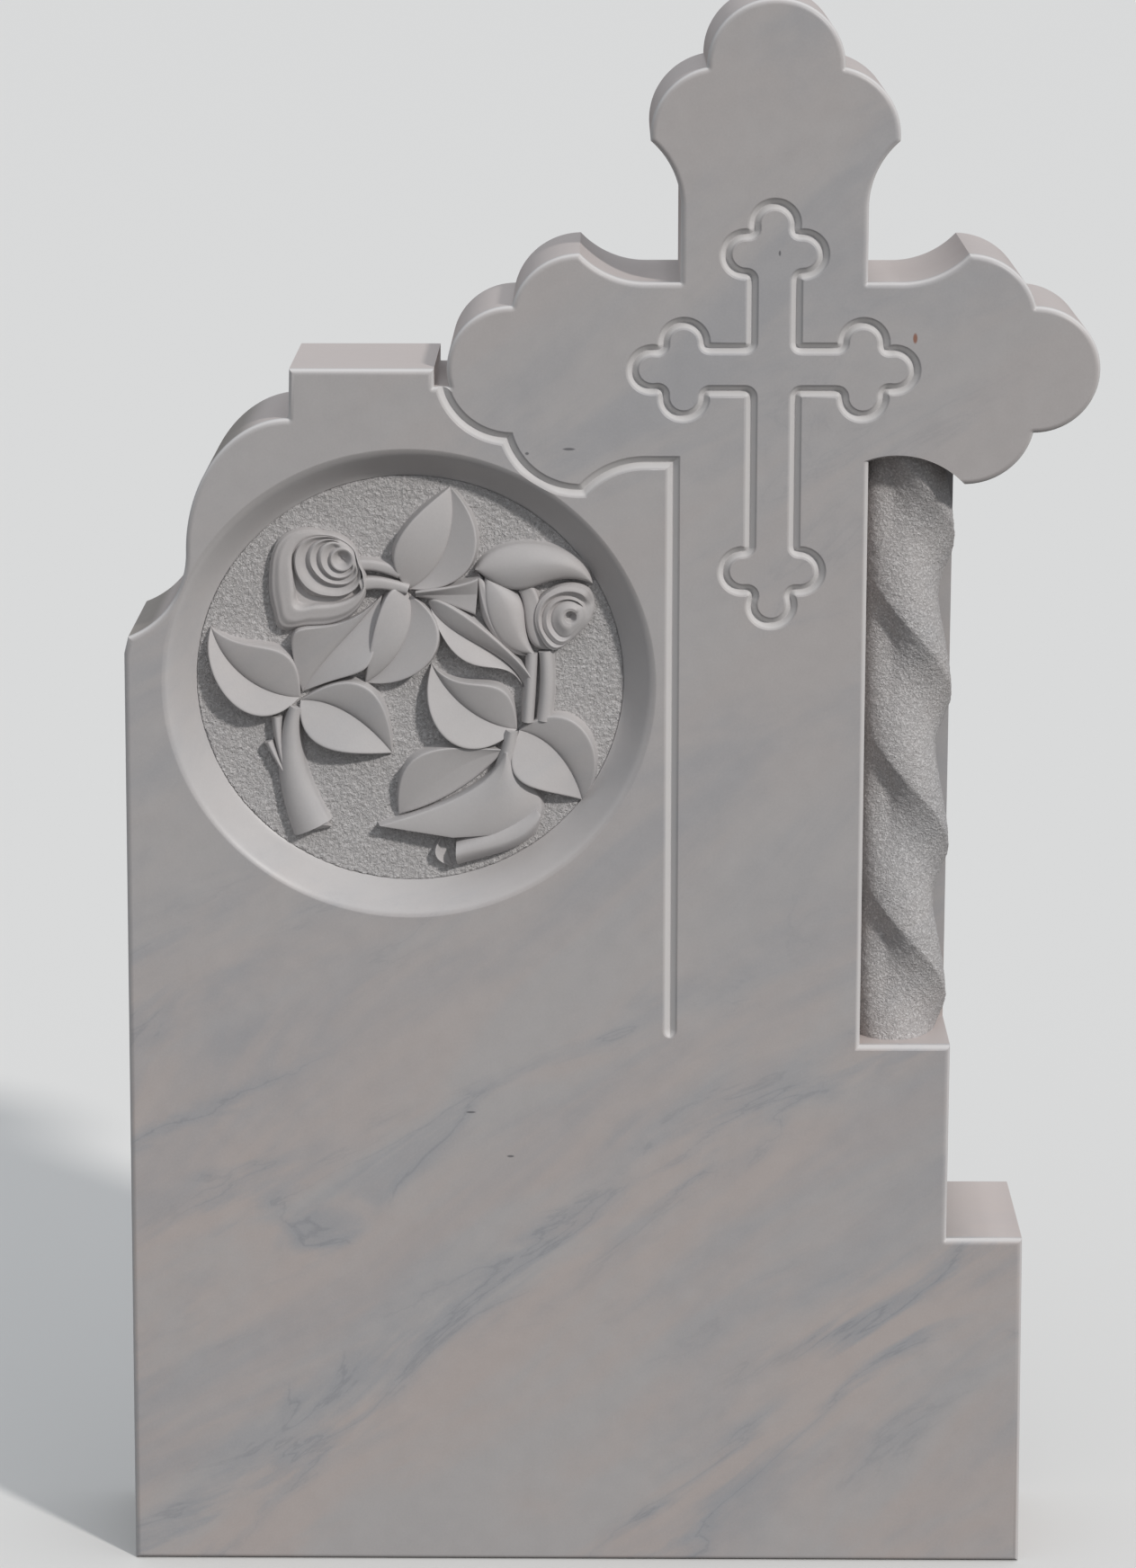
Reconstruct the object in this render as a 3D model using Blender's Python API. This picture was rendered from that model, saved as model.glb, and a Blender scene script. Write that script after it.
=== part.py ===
"""A marble grave monument carved from one slab: a stepped panel with a round sunk medallion of roses,
a large cross with trefoil arms and a small engraved cross, and a twisted column in a bay beside the shaft.
Metres, X to the right, Y into the stone, Z up, with the underside's middle at the origin.
"""

import math

import bmesh
import bpy
from mathutils import Vector

# Slab
THICKNESS = 0.145
FOOT_WIDTH = 0.6865
FOOT_TOP_WIDTH = 0.681
FOOT_HEIGHT = 0.263
FRONT_CHAMFER = 0.0045
BACK_CHAMFER = 0.003
STRIP_X = 0.2825

# Panel to the left of the cross
PANEL_TOP_X = -0.211
PANEL_STEP = 0.0366
PANEL_EDGE_X = -0.3333
PANEL_EDGE_Z = 0.7185
SHOULDER_WIDTH = 0.0772
SHOULDER_HEIGHT = 0.100
COVE_RADIUS = 0.068
KERF_WIDTH = 0.0095
KERF_DEPTH = 0.013

# Large cross: its circles are squashed a little in height
CROSS_X = 0.1435
CROSS_Z = 0.9315
SQUASH = 0.968
ARM_HALF = 0.066
SHAFT_HALF = 0.0682
FLARE_RADIUS = 0.066
SIDE_FLARE_OUT = 0.093
TOP_FLARE_UP = 0.1225
SIDE_LOBE_RADIUS = 0.0515
SIDE_LOBE_OUT = 0.141
SIDE_LOBE_OFF = 0.036
SIDE_END_RADIUS = 0.048
SIDE_END_OUT = 0.191
TOP_LOBE_UP = 0.176
TOP_LOBE_OFF = 0.039
TOP_END_RADIUS = 0.050
TOP_END_UP = 0.2274

# Groove that parts the cross from the panel, and the small engraved cross
GROOVE_WIDTH = 0.010
GROOVE_DEPTH = 0.005
GROOVE_END_Z = 0.424
MARK_GROOVE_WIDTH = 0.009
MARK_GROOVE_DEPTH = 0.0055
MARK_BAR_HALF = 0.0207
MARK_LOBE_RADIUS = 0.0193
MARK_LOBE_OFF = 0.0207
MARK_LOBE_BACK = 0.0228
MARK_FOOT_BACK = 0.0260
MARK_TOP_END = 0.1102
MARK_SIDE_END = 0.0884
MARK_FOOT_END = 0.1805

# Bay with the twisted column
BAY_X = 0.2140
BAY_FLOOR_Z = 0.417
BAY_DEPTH = 0.084
LOBE_CLEARANCE = 0.0004
COLUMN_X = 0.247
COLUMN_DEPTH = 0.048
COLUMN_RADIUS = 0.0345
COLUMN_LEAD = 0.236
COLUMN_STARTS = 2
COLUMN_RIDGE_Z = 0.560
FLUTE_DEPTH = 0.011
FLUTE_SKEW = 1.6
EMBED = 0.006

# Medallion
MEDALLION_X = -0.125
MEDALLION_Z = 0.695
RIM_RADIUS = 0.1835
GROUND_RADIUS = 0.1596
GROUND_DEPTH = 0.025
RIM_ROUND = 0.008
GROUND_ROUND = 0.0015

# Relief heights over the ground, and how far its solids reach under it
RIM_RISE = 0.0185
RIB_RISE = 0.0095
STEM_RISE = 0.0150
STEM_EDGE = 0.0090
UNDER_GROUND = 0.002

# Mesh fineness
ARC_STEP = 0.0095
MEDALLION_SIDES = 64
LEAF_ROWS = 9
COLUMN_SIDES = 24
COLUMN_ROWS = 20

# Places above are measured from the foot's middle. The origin is the middle of the whole width.
MIDDLE_X = (CROSS_X + SIDE_END_OUT + SIDE_END_RADIUS - FOOT_WIDTH / 2) / 2
FACE_Y = -THICKNESS / 2
BACK_Y = THICKNESS / 2
OVERCUT = 0.003


def line(x0, z0, x1, z1):
    return ("line", Vector((x0, z0)), Vector((x1, z1)))


def limit(x0, z0, x1, z1):
    """A line that ends an open contour and stays where it is when the contour grows."""
    return ("limit", Vector((x0, z0)), Vector((x1, z1)))


def lobe(x, z, radius):
    return ("arc", Vector((x, z)), radius, 1)


def flare(x, z, radius):
    return ("arc", Vector((x, z)), radius, -1)


def grown(piece, grow):
    """The piece moved outwards, away from the stone on its left."""
    if piece[0] == "limit":
        return piece
    if piece[0] == "line":
        run = (piece[2] - piece[1]).normalized()
        out = Vector((run.y, -run.x)) * grow
        return ("line", piece[1] + out, piece[2] + out)
    return ("arc", piece[1], piece[2] + piece[3] * grow, piece[3])


def line_meets_line(first, second):
    run = first[2] - first[1]
    other = second[2] - second[1]
    cross = run.x * other.y - run.y * other.x
    if abs(cross) < 1e-9:
        return second[1].copy()
    gap = second[1] - first[1]
    return first[1] + run * ((gap.x * other.y - gap.y * other.x) / cross)


def line_meets_arc(straight, arc, leaving):
    """Where a line enters a circle or, when it is leaving, where it comes out."""
    run = (straight[2] - straight[1]).normalized()
    foot = straight[1] + run * (arc[1] - straight[1]).dot(run)
    half = arc[2] ** 2 - (arc[1] - foot).length_squared
    if half < 1e-9:
        return foot
    return foot + run * math.sqrt(half) * (1 if leaving else -1)


def arc_meets_arc(first, second):
    """Of two circles' crossings, the one farther from the cross's middle."""
    gap = second[1] - first[1]
    span = gap.length
    along = (span**2 + first[2] ** 2 - second[2] ** 2) / (2 * span)
    half = math.sqrt(max(first[2] ** 2 - along**2, 0))
    side = Vector((-gap.y, gap.x)) * (half / span)
    foot = first[1] + gap * (along / span)
    return max(foot + side, foot - side, key=lambda point: point.length)


def meet(first, second):
    """Where two pieces of a contour join."""
    if first[0] != "arc" and second[0] != "arc":
        return line_meets_line(first, second)
    if first[0] != "arc":
        return line_meets_arc(first, second, leaving=False)
    if second[0] != "arc":
        return line_meets_arc(second, first, leaving=True)
    return arc_meets_arc(first, second)


def heading(piece, point):
    """The direction in which the contour runs along a piece at a point of it."""
    if piece[0] != "arc":
        return (piece[2] - piece[1]).normalized()
    out = (point - piece[1]).normalized() * piece[3]
    return Vector((-out.y, out.x))


def corner(first, second, grow):
    """The contour's three points at a joint: one and the same, or an arc round an inner corner."""
    nominal = meet(first, second)
    ways = [heading(first, nominal), heading(second, nominal)]
    turn = ways[0].x * ways[1].y - ways[0].y * ways[1].x
    if turn < -0.02 and grow < 0:
        ways.insert(1, (ways[0] + ways[1]).normalized())
        return [nominal + Vector((way.y, -way.x)) * grow for way in ways]
    return [meet(grown(first, grow), grown(second, grow))] * 3


def sweep(arc, start, end):
    """The angles at which an arc starts and ends, turning its own way."""
    turn = arc[3]
    first = math.atan2(start.y - arc[1].y, start.x - arc[1].x)
    last = math.atan2(end.y - arc[1].y, end.x - arc[1].x)
    return first, first + turn * ((last - first) * turn % (2 * math.pi))


def trace(pieces, grow, step, closed=True):
    """Points along a contour grown by grow. Their number doesn't depend on grow."""
    total = len(pieces)
    plain = [corner(pieces[i - 1], pieces[i], 0) for i in range(total)]
    moved = [corner(pieces[i - 1], pieces[i], grow) for i in range(total)]
    inner = range(total) if closed else range(1, total - 1)
    points = []
    for i in inner:
        after = (i + 1) % total
        points.extend(moved[i])
        if pieces[i][0] != "arc":
            continue
        start, end = sweep(pieces[i], plain[i][2], plain[after][0])
        count = max(2, round(abs(end - start) * pieces[i][2] / step))
        arc = grown(pieces[i], grow)
        start, end = sweep(arc, moved[i][2], moved[after][0])
        for k in range(1, count):
            angle = start + (end - start) * k / count
            points.append(arc[1] + Vector((math.cos(angle), math.sin(angle))) * arc[2])
    if not closed:
        points.extend(moved[-1])
    return points


def upright(point):
    """A point of the round cross in the world's X and Z."""
    return Vector((CROSS_X + point.x, CROSS_Z + point.y * SQUASH))


def about_cross(x, z):
    """A point of the world in the round cross's own plane."""
    return (x - CROSS_X, (z - CROSS_Z) / SQUASH)


def straight_run(points):
    """Lines through the points, given in the world's X and Z."""
    ends = [about_cross(*point) for point in points]
    return [line(*ends[i], *ends[i + 1]) for i in range(len(ends) - 1)]


def upper_cross():
    """The cross from the right arm's underside round to the left end lobe, counter-clockwise."""
    arm_flare_off = ARM_HALF + FLARE_RADIUS
    top_flare_off = SHAFT_HALF + FLARE_RADIUS
    return [
        lobe(SIDE_LOBE_OUT, -SIDE_LOBE_OFF, SIDE_LOBE_RADIUS),
        lobe(SIDE_END_OUT, 0, SIDE_END_RADIUS),
        lobe(SIDE_LOBE_OUT, SIDE_LOBE_OFF, SIDE_LOBE_RADIUS),
        flare(SIDE_FLARE_OUT, arm_flare_off, FLARE_RADIUS),
        line(SIDE_FLARE_OUT, ARM_HALF, SHAFT_HALF, ARM_HALF),
        line(SHAFT_HALF, ARM_HALF, SHAFT_HALF, TOP_FLARE_UP),
        flare(top_flare_off, TOP_FLARE_UP, FLARE_RADIUS),
        lobe(TOP_LOBE_OFF, TOP_LOBE_UP, SIDE_LOBE_RADIUS),
        lobe(0, TOP_END_UP, TOP_END_RADIUS),
        lobe(-TOP_LOBE_OFF, TOP_LOBE_UP, SIDE_LOBE_RADIUS),
        flare(-top_flare_off, TOP_FLARE_UP, FLARE_RADIUS),
        line(-SHAFT_HALF, TOP_FLARE_UP, -SHAFT_HALF, ARM_HALF),
        line(-SHAFT_HALF, ARM_HALF, -SIDE_FLARE_OUT, ARM_HALF),
        flare(-SIDE_FLARE_OUT, arm_flare_off, FLARE_RADIUS),
        lobe(-SIDE_LOBE_OUT, SIDE_LOBE_OFF, SIDE_LOBE_RADIUS),
        lobe(-SIDE_END_OUT, 0, SIDE_END_RADIUS),
    ]


def panel_side():
    """The panel from its step down to the foot, in the world's X and Z."""
    shoulder_z = CROSS_Z - PANEL_STEP
    low_z = shoulder_z - SHOULDER_HEIGHT
    points = [(PANEL_TOP_X, CROSS_Z)]
    for k in range(7):
        angle = math.pi / 2 * k / 6
        x = PANEL_TOP_X - 0.001 - SHOULDER_WIDTH * math.sin(angle)
        points.append((x, low_z + SHOULDER_HEIGHT * math.cos(angle)))
    cove_x = points[-1][0] - COVE_RADIUS
    reach = math.acos((PANEL_EDGE_X - cove_x) / COVE_RADIUS)
    for k in range(1, 7):
        angle = reach * k / 6
        points.append((cove_x + COVE_RADIUS * math.cos(angle), low_z - COVE_RADIUS * math.sin(angle)))
    points.append((PANEL_EDGE_X - 0.0032, PANEL_EDGE_Z))
    points.append((-FOOT_WIDTH / 2, 0))
    return points


def slab_pieces():
    foot = FOOT_WIDTH / 2
    shelf = FOOT_TOP_WIDTH / 2
    kerf_x = CROSS_X - SIDE_END_OUT - SIDE_END_RADIUS
    kerf_floor = CROSS_Z - KERF_DEPTH
    kerf = [
        (kerf_x + 0.002, kerf_floor),
        (kerf_x - KERF_WIDTH, kerf_floor),
        (kerf_x - KERF_WIDTH, CROSS_Z),
        (PANEL_TOP_X, CROSS_Z),
    ]
    base = [(-foot, 0), (foot, 0), (shelf, FOOT_HEIGHT), (STRIP_X, FOOT_HEIGHT), (STRIP_X, CROSS_Z)]
    return upper_cross() + straight_run(kerf) + straight_run(panel_side()) + straight_run(base)


def groove_pieces():
    """The left arm's underside and the shaft's left edge, open at both ends."""
    arm_flare_off = ARM_HALF + FLARE_RADIUS
    end = about_cross(CROSS_X, GROOVE_END_Z + GROOVE_WIDTH / 2)[1]
    return [
        limit(-1, -KERF_DEPTH / 2, 0, -KERF_DEPTH / 2),
        lobe(-SIDE_END_OUT, 0, SIDE_END_RADIUS),
        lobe(-SIDE_LOBE_OUT, -SIDE_LOBE_OFF, SIDE_LOBE_RADIUS),
        flare(-SIDE_FLARE_OUT, -arm_flare_off, FLARE_RADIUS),
        line(-SIDE_FLARE_OUT, -ARM_HALF, -SHAFT_HALF, -ARM_HALF),
        line(-SHAFT_HALF, -ARM_HALF, -SHAFT_HALF, end),
        limit(-1, end, 1, end),
    ]


def mark_end(way, end, back):
    """Three lobes on the end of a bar that points along way."""
    side = Vector((-way.y, way.x)) * MARK_LOBE_OFF
    near = way * (end - back)
    return [
        lobe(*(near - side), MARK_LOBE_RADIUS),
        lobe(*(way * end), MARK_LOBE_RADIUS),
        lobe(*(near + side), MARK_LOBE_RADIUS),
    ]


def mark_pieces():
    """The small cross's outer edge, counter-clockwise: bars with three lobes on each end."""
    bar = MARK_BAR_HALF
    bars = (
        (Vector((1, 0)), MARK_SIDE_END, MARK_LOBE_BACK),
        (Vector((0, 1)), MARK_TOP_END, MARK_LOBE_BACK),
        (Vector((-1, 0)), MARK_SIDE_END, MARK_LOBE_BACK),
        (Vector((0, -1)), MARK_FOOT_END, MARK_FOOT_BACK),
    )
    pieces = []
    for way, end, back in bars:
        side = Vector((-way.y, way.x)) * bar
        pieces.append(line(*(way * bar - side), *(way * end - side)))
        pieces.extend(mark_end(way, end, back))
        pieces.append(line(*(way * end + side), *(way * bar + side)))
    return pieces


def new_object(name, bm, helper=True):
    """An object with the mesh in bm. A helper is a tool of a Boolean and doesn't render."""
    bmesh.ops.translate(bm, verts=bm.verts, vec=(-MIDDLE_X, 0, 0))
    bmesh.ops.remove_doubles(bm, verts=bm.verts, dist=1e-5)
    bmesh.ops.dissolve_degenerate(bm, dist=1e-6, edges=bm.edges)
    bmesh.ops.triangulate(bm, faces=[face for face in bm.faces if len(face.verts) > 4])
    bmesh.ops.recalc_face_normals(bm, faces=bm.faces)
    mesh = bpy.data.meshes.new(name)
    bm.to_mesh(mesh)
    bm.free()
    made = bpy.data.objects.new(name, mesh)
    bpy.context.scene.collection.objects.link(made)
    if helper:
        made.hide_render = True
        made.display_type = "WIRE"
    return made


def loft(name, rings, closed=False, helper=True):
    """A body through rings of points. A closed one joins its last ring to its first, and an open one is capped."""
    bm = bmesh.new()
    rows = [[bm.verts.new(point) for point in ring] for ring in rings]
    count = len(rows[0])
    for i in range(len(rows) - (0 if closed else 1)):
        here, there = rows[i], rows[(i + 1) % len(rows)]
        for k in range(count):
            after = (k + 1) % count
            bm.faces.new((here[k], here[after], there[after], there[k]))
    if not closed:
        bm.faces.new(rows[0])
        bm.faces.new(rows[-1])
    return new_object(name, bm, helper)


def at_depth(points, y):
    return [Vector((upright(point).x, y, upright(point).y)) for point in points]


def slab():
    pieces = slab_pieces()
    rings = [
        at_depth(trace(pieces, -FRONT_CHAMFER, ARC_STEP), FACE_Y),
        at_depth(trace(pieces, 0, ARC_STEP), FACE_Y + FRONT_CHAMFER),
        at_depth(trace(pieces, 0, ARC_STEP), BACK_Y - BACK_CHAMFER),
        at_depth(trace(pieces, -BACK_CHAMFER, ARC_STEP), BACK_Y),
    ]
    return loft("marble_monument", rings, helper=False)


def ring_groove(name, pieces, width, depth):
    """A V-groove inwards from the closed contour."""
    over = OVERCUT * width / (2 * depth)
    rings = [
        at_depth(trace(pieces, over, ARC_STEP), FACE_Y - OVERCUT),
        at_depth(trace(pieces, -width / 2, ARC_STEP), FACE_Y + depth),
        at_depth(trace(pieces, -width - over, ARC_STEP), FACE_Y - OVERCUT),
    ]
    return loft(name, rings, closed=True)


def cross_groove():
    """A V-groove outwards from the cross's left side, with a pointed lower end."""
    pieces = groove_pieces()
    over = OVERCUT * GROOVE_WIDTH / (2 * GROOVE_DEPTH)
    inner = at_depth(trace(pieces, -over, ARC_STEP, closed=False), FACE_Y - OVERCUT)
    middle = at_depth(trace(pieces, GROOVE_WIDTH / 2, ARC_STEP, closed=False), FACE_Y + GROOVE_DEPTH)
    outer = at_depth(trace(pieces, GROOVE_WIDTH + over, ARC_STEP, closed=False), FACE_Y - OVERCUT)
    point = (inner[-1] + outer[-1]) / 2 - Vector((0, 0, GROOVE_WIDTH / 2 + over))
    rings = [list(ring) for ring in zip(inner, middle, outer)]
    rings.append([point, point + Vector((0, OVERCUT / 9, 0)), point + Vector((0.0001, 0, 0))])
    return loft("cross_groove_cutter", rings)


def medallion_ring(radius, y):
    ring = []
    for k in range(MEDALLION_SIDES):
        angle = 2 * math.pi * k / MEDALLION_SIDES
        x = MEDALLION_X + radius * math.cos(angle)
        ring.append(Vector((x, y, MEDALLION_Z + radius * math.sin(angle) * SQUASH)))
    return ring


def medallion():
    ground_y = FACE_Y + GROUND_DEPTH
    rings = [
        medallion_ring(RIM_RADIUS, FACE_Y - OVERCUT),
        medallion_ring(RIM_RADIUS, FACE_Y),
        medallion_ring(RIM_RADIUS - RIM_ROUND * 0.55, FACE_Y + RIM_ROUND * 0.25),
        medallion_ring(RIM_RADIUS - RIM_ROUND, FACE_Y + RIM_ROUND * 0.75),
        medallion_ring(GROUND_RADIUS + GROUND_ROUND, ground_y - GROUND_ROUND),
        medallion_ring(GROUND_RADIUS, ground_y),
    ]
    return loft("medallion_cutter", rings)


def bay():
    """The recess beside the shaft: its ceiling is the right arm's flared underside."""
    floor = about_cross(BAY_X, BAY_FLOOR_Z)
    centre_z = -(ARM_HALF + FLARE_RADIUS)
    end_lobe = lobe(SIDE_LOBE_OUT, -SIDE_LOBE_OFF, SIDE_LOBE_RADIUS)
    join = meet(end_lobe, flare(SIDE_FLARE_OUT, centre_z, FLARE_RADIUS))
    outside = SIDE_LOBE_OUT + SIDE_LOBE_RADIUS
    below = -SIDE_LOBE_OFF - SIDE_LOBE_RADIUS - LOBE_CLEARANCE
    outline = [Vector(floor), Vector((outside, floor[1])), Vector((outside, below))]
    for k in range(9):
        x = join.x + (floor[0] - join.x) * k / 8
        rise = math.sqrt(FLARE_RADIUS**2 - (x - SIDE_FLARE_OUT) ** 2)
        outline.append(Vector((x, centre_z + rise)))
    rings = [at_depth(outline, FACE_Y - OVERCUT), at_depth(outline, FACE_Y + BAY_DEPTH)]
    return loft("bay_cutter", rings)


def column():
    """A twisted column: one section with hollow flutes, turned as it climbs."""
    axis_y = FACE_Y + COLUMN_DEPTH
    low = BAY_FLOOR_Z - EMBED
    high = CROSS_Z - ARM_HALF * SQUASH + EMBED
    rings = []
    for row in range(COLUMN_ROWS + 1):
        z = low + (high - low) * row / COLUMN_ROWS
        turn = 2 * math.pi * (z - COLUMN_RIDGE_Z) / COLUMN_LEAD
        ring = []
        for k in range(COLUMN_SIDES):
            phase = 2 * math.pi * k / COLUMN_SIDES
            share = -phase * COLUMN_STARTS / (2 * math.pi) % 1
            radius = COLUMN_RADIUS - FLUTE_DEPTH * math.sin(math.pi * share**FLUTE_SKEW)
            angle = phase + turn
            x = COLUMN_X + radius * math.cos(angle)
            ring.append(Vector((x, axis_y - radius * math.sin(angle), z)))
        rings.append(ring)
    return loft("twisted_column", rings)


def curve_between(start, end, handles):
    """A cubic curve from start to end. Its handles are given along and across the line between the two."""
    chord = end - start
    across = Vector((-chord.y, chord.x))
    first = start + chord * handles[0] + across * handles[1]
    second = start + chord * handles[2] + across * handles[3]

    def point(t):
        back = 1 - t
        return start * back**3 + first * 3 * back**2 * t + second * 3 * back * t**2 + end * t**3

    return point


def relief_body(name, curves, heights, ends=(0.5, 0.35), pointed=True):
    """A carved body over the ground: a grid between three curves, raised by three heights, on a flat foot.

    A pointed one starts and ends in a point, where its three heights are one.
    """
    bm = bmesh.new()
    ground_y = FACE_Y + GROUND_DEPTH
    rows = []
    for i in range(LEAF_ROWS + 1):
        t = i / LEAF_ROWS
        swell = ends[0] + (ends[1] - ends[0]) * t
        swell += (1 - swell) * abs(math.sin(math.pi * t)) ** 0.6
        fold = abs(math.sin(math.pi * t)) ** 0.5 if pointed else 1
        row = []
        for share in (-1, -0.5, 0, 0.5, 1):
            edge = curves[0](t) if share < 0 else curves[2](t)
            rim = heights[0] if share < 0 else heights[2]
            place = curves[1](t).lerp(edge, abs(share))
            rise = (heights[1] + (rim - heights[1]) * fold * abs(share) ** 1.3) * swell
            x = MEDALLION_X + GROUND_RADIUS * place.x
            z = MEDALLION_Z + GROUND_RADIUS * place.y
            row.append(bm.verts.new((x, ground_y - rise, z)))
        rows.append(row)
    for here, there in zip(rows, rows[1:]):
        for k in range(4):
            bm.faces.new((here[k], here[k + 1], there[k + 1], there[k]))
    bmesh.ops.remove_doubles(bm, verts=bm.verts, dist=1e-5)
    bmesh.ops.dissolve_degenerate(bm, dist=1e-6, edges=bm.edges)
    grown_part = bmesh.ops.extrude_face_region(bm, geom=bm.faces[:], use_keep_orig=True)
    for item in grown_part["geom"]:
        if isinstance(item, bmesh.types.BMVert):
            item.co.y = ground_y + UNDER_GROUND
    return new_object(name, bm)


def leaf(name, root, tip, left, rib, right, rise=1.0):
    """A leaf folded along its rib, whose two halves fall from raised rims."""
    start, end = Vector(root), Vector(tip)
    curves = [curve_between(start, end, handles) for handles in (left, rib, right)]
    heights = (RIM_RISE * rise, RIB_RISE * rise, RIM_RISE * rise)
    return relief_body(name, curves, heights)


def stem(name, start, middle, end, half_start, half_end, rise=1.0):
    """A round-backed stem through three points."""
    first, mid, last = Vector(start), Vector(middle), Vector(end)
    bend = mid * 2 - (first + last) / 2

    def centre(t):
        return first * (1 - t) ** 2 + bend * 2 * t * (1 - t) + last * t**2

    def side(sign):
        def point(t):
            run = (centre(t + 0.01) - centre(t - 0.01)).normalized()
            half = half_start + (half_end - half_start) * t
            return centre(t) + Vector((-run.y, run.x)) * half * sign

        return point

    heights = (STEM_EDGE * rise, STEM_RISE * rise, STEM_EDGE * rise)
    return relief_body(name, (side(1), centre, side(-1)), heights, ends=(1, 1), pointed=False)


def bloom(name, centre, eye, radius, turns=2.5, sides=20, rows=8):
    """A rose's heart: a spiral of petals, each one hollow behind its raised edge."""
    bm = bmesh.new()
    ground_y = FACE_Y + GROUND_DEPTH
    rings = []
    for i in range(rows + 1):
        share = i / rows
        ring = []
        for k in range(sides):
            angle = 2 * math.pi * k / sides
            middle = Vector(eye).lerp(Vector(centre), share)
            place = middle + Vector((math.cos(angle), math.sin(angle))) * radius * share
            wave = (share * turns + k / sides) % 1
            rise = RIM_RISE * (0.55 + 0.45 * wave) * (1 - 0.15 * share)
            x = MEDALLION_X + GROUND_RADIUS * place.x
            z = MEDALLION_Z + GROUND_RADIUS * place.y
            ring.append(bm.verts.new((x, ground_y - rise, z)))
        rings.append(ring)
    for here, there in zip(rings, rings[1:]):
        for k in range(sides):
            after = (k + 1) % sides
            bm.faces.new((here[k], here[after], there[after], there[k]))
    bmesh.ops.pointmerge(bm, verts=rings[0], merge_co=rings[0][0].co)
    grown_part = bmesh.ops.extrude_face_region(bm, geom=bm.faces[:], use_keep_orig=True)
    for item in grown_part["geom"]:
        if isinstance(item, bmesh.types.BMVert):
            item.co.y = ground_y + UNDER_GROUND
    return new_object(name, bm)


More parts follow.
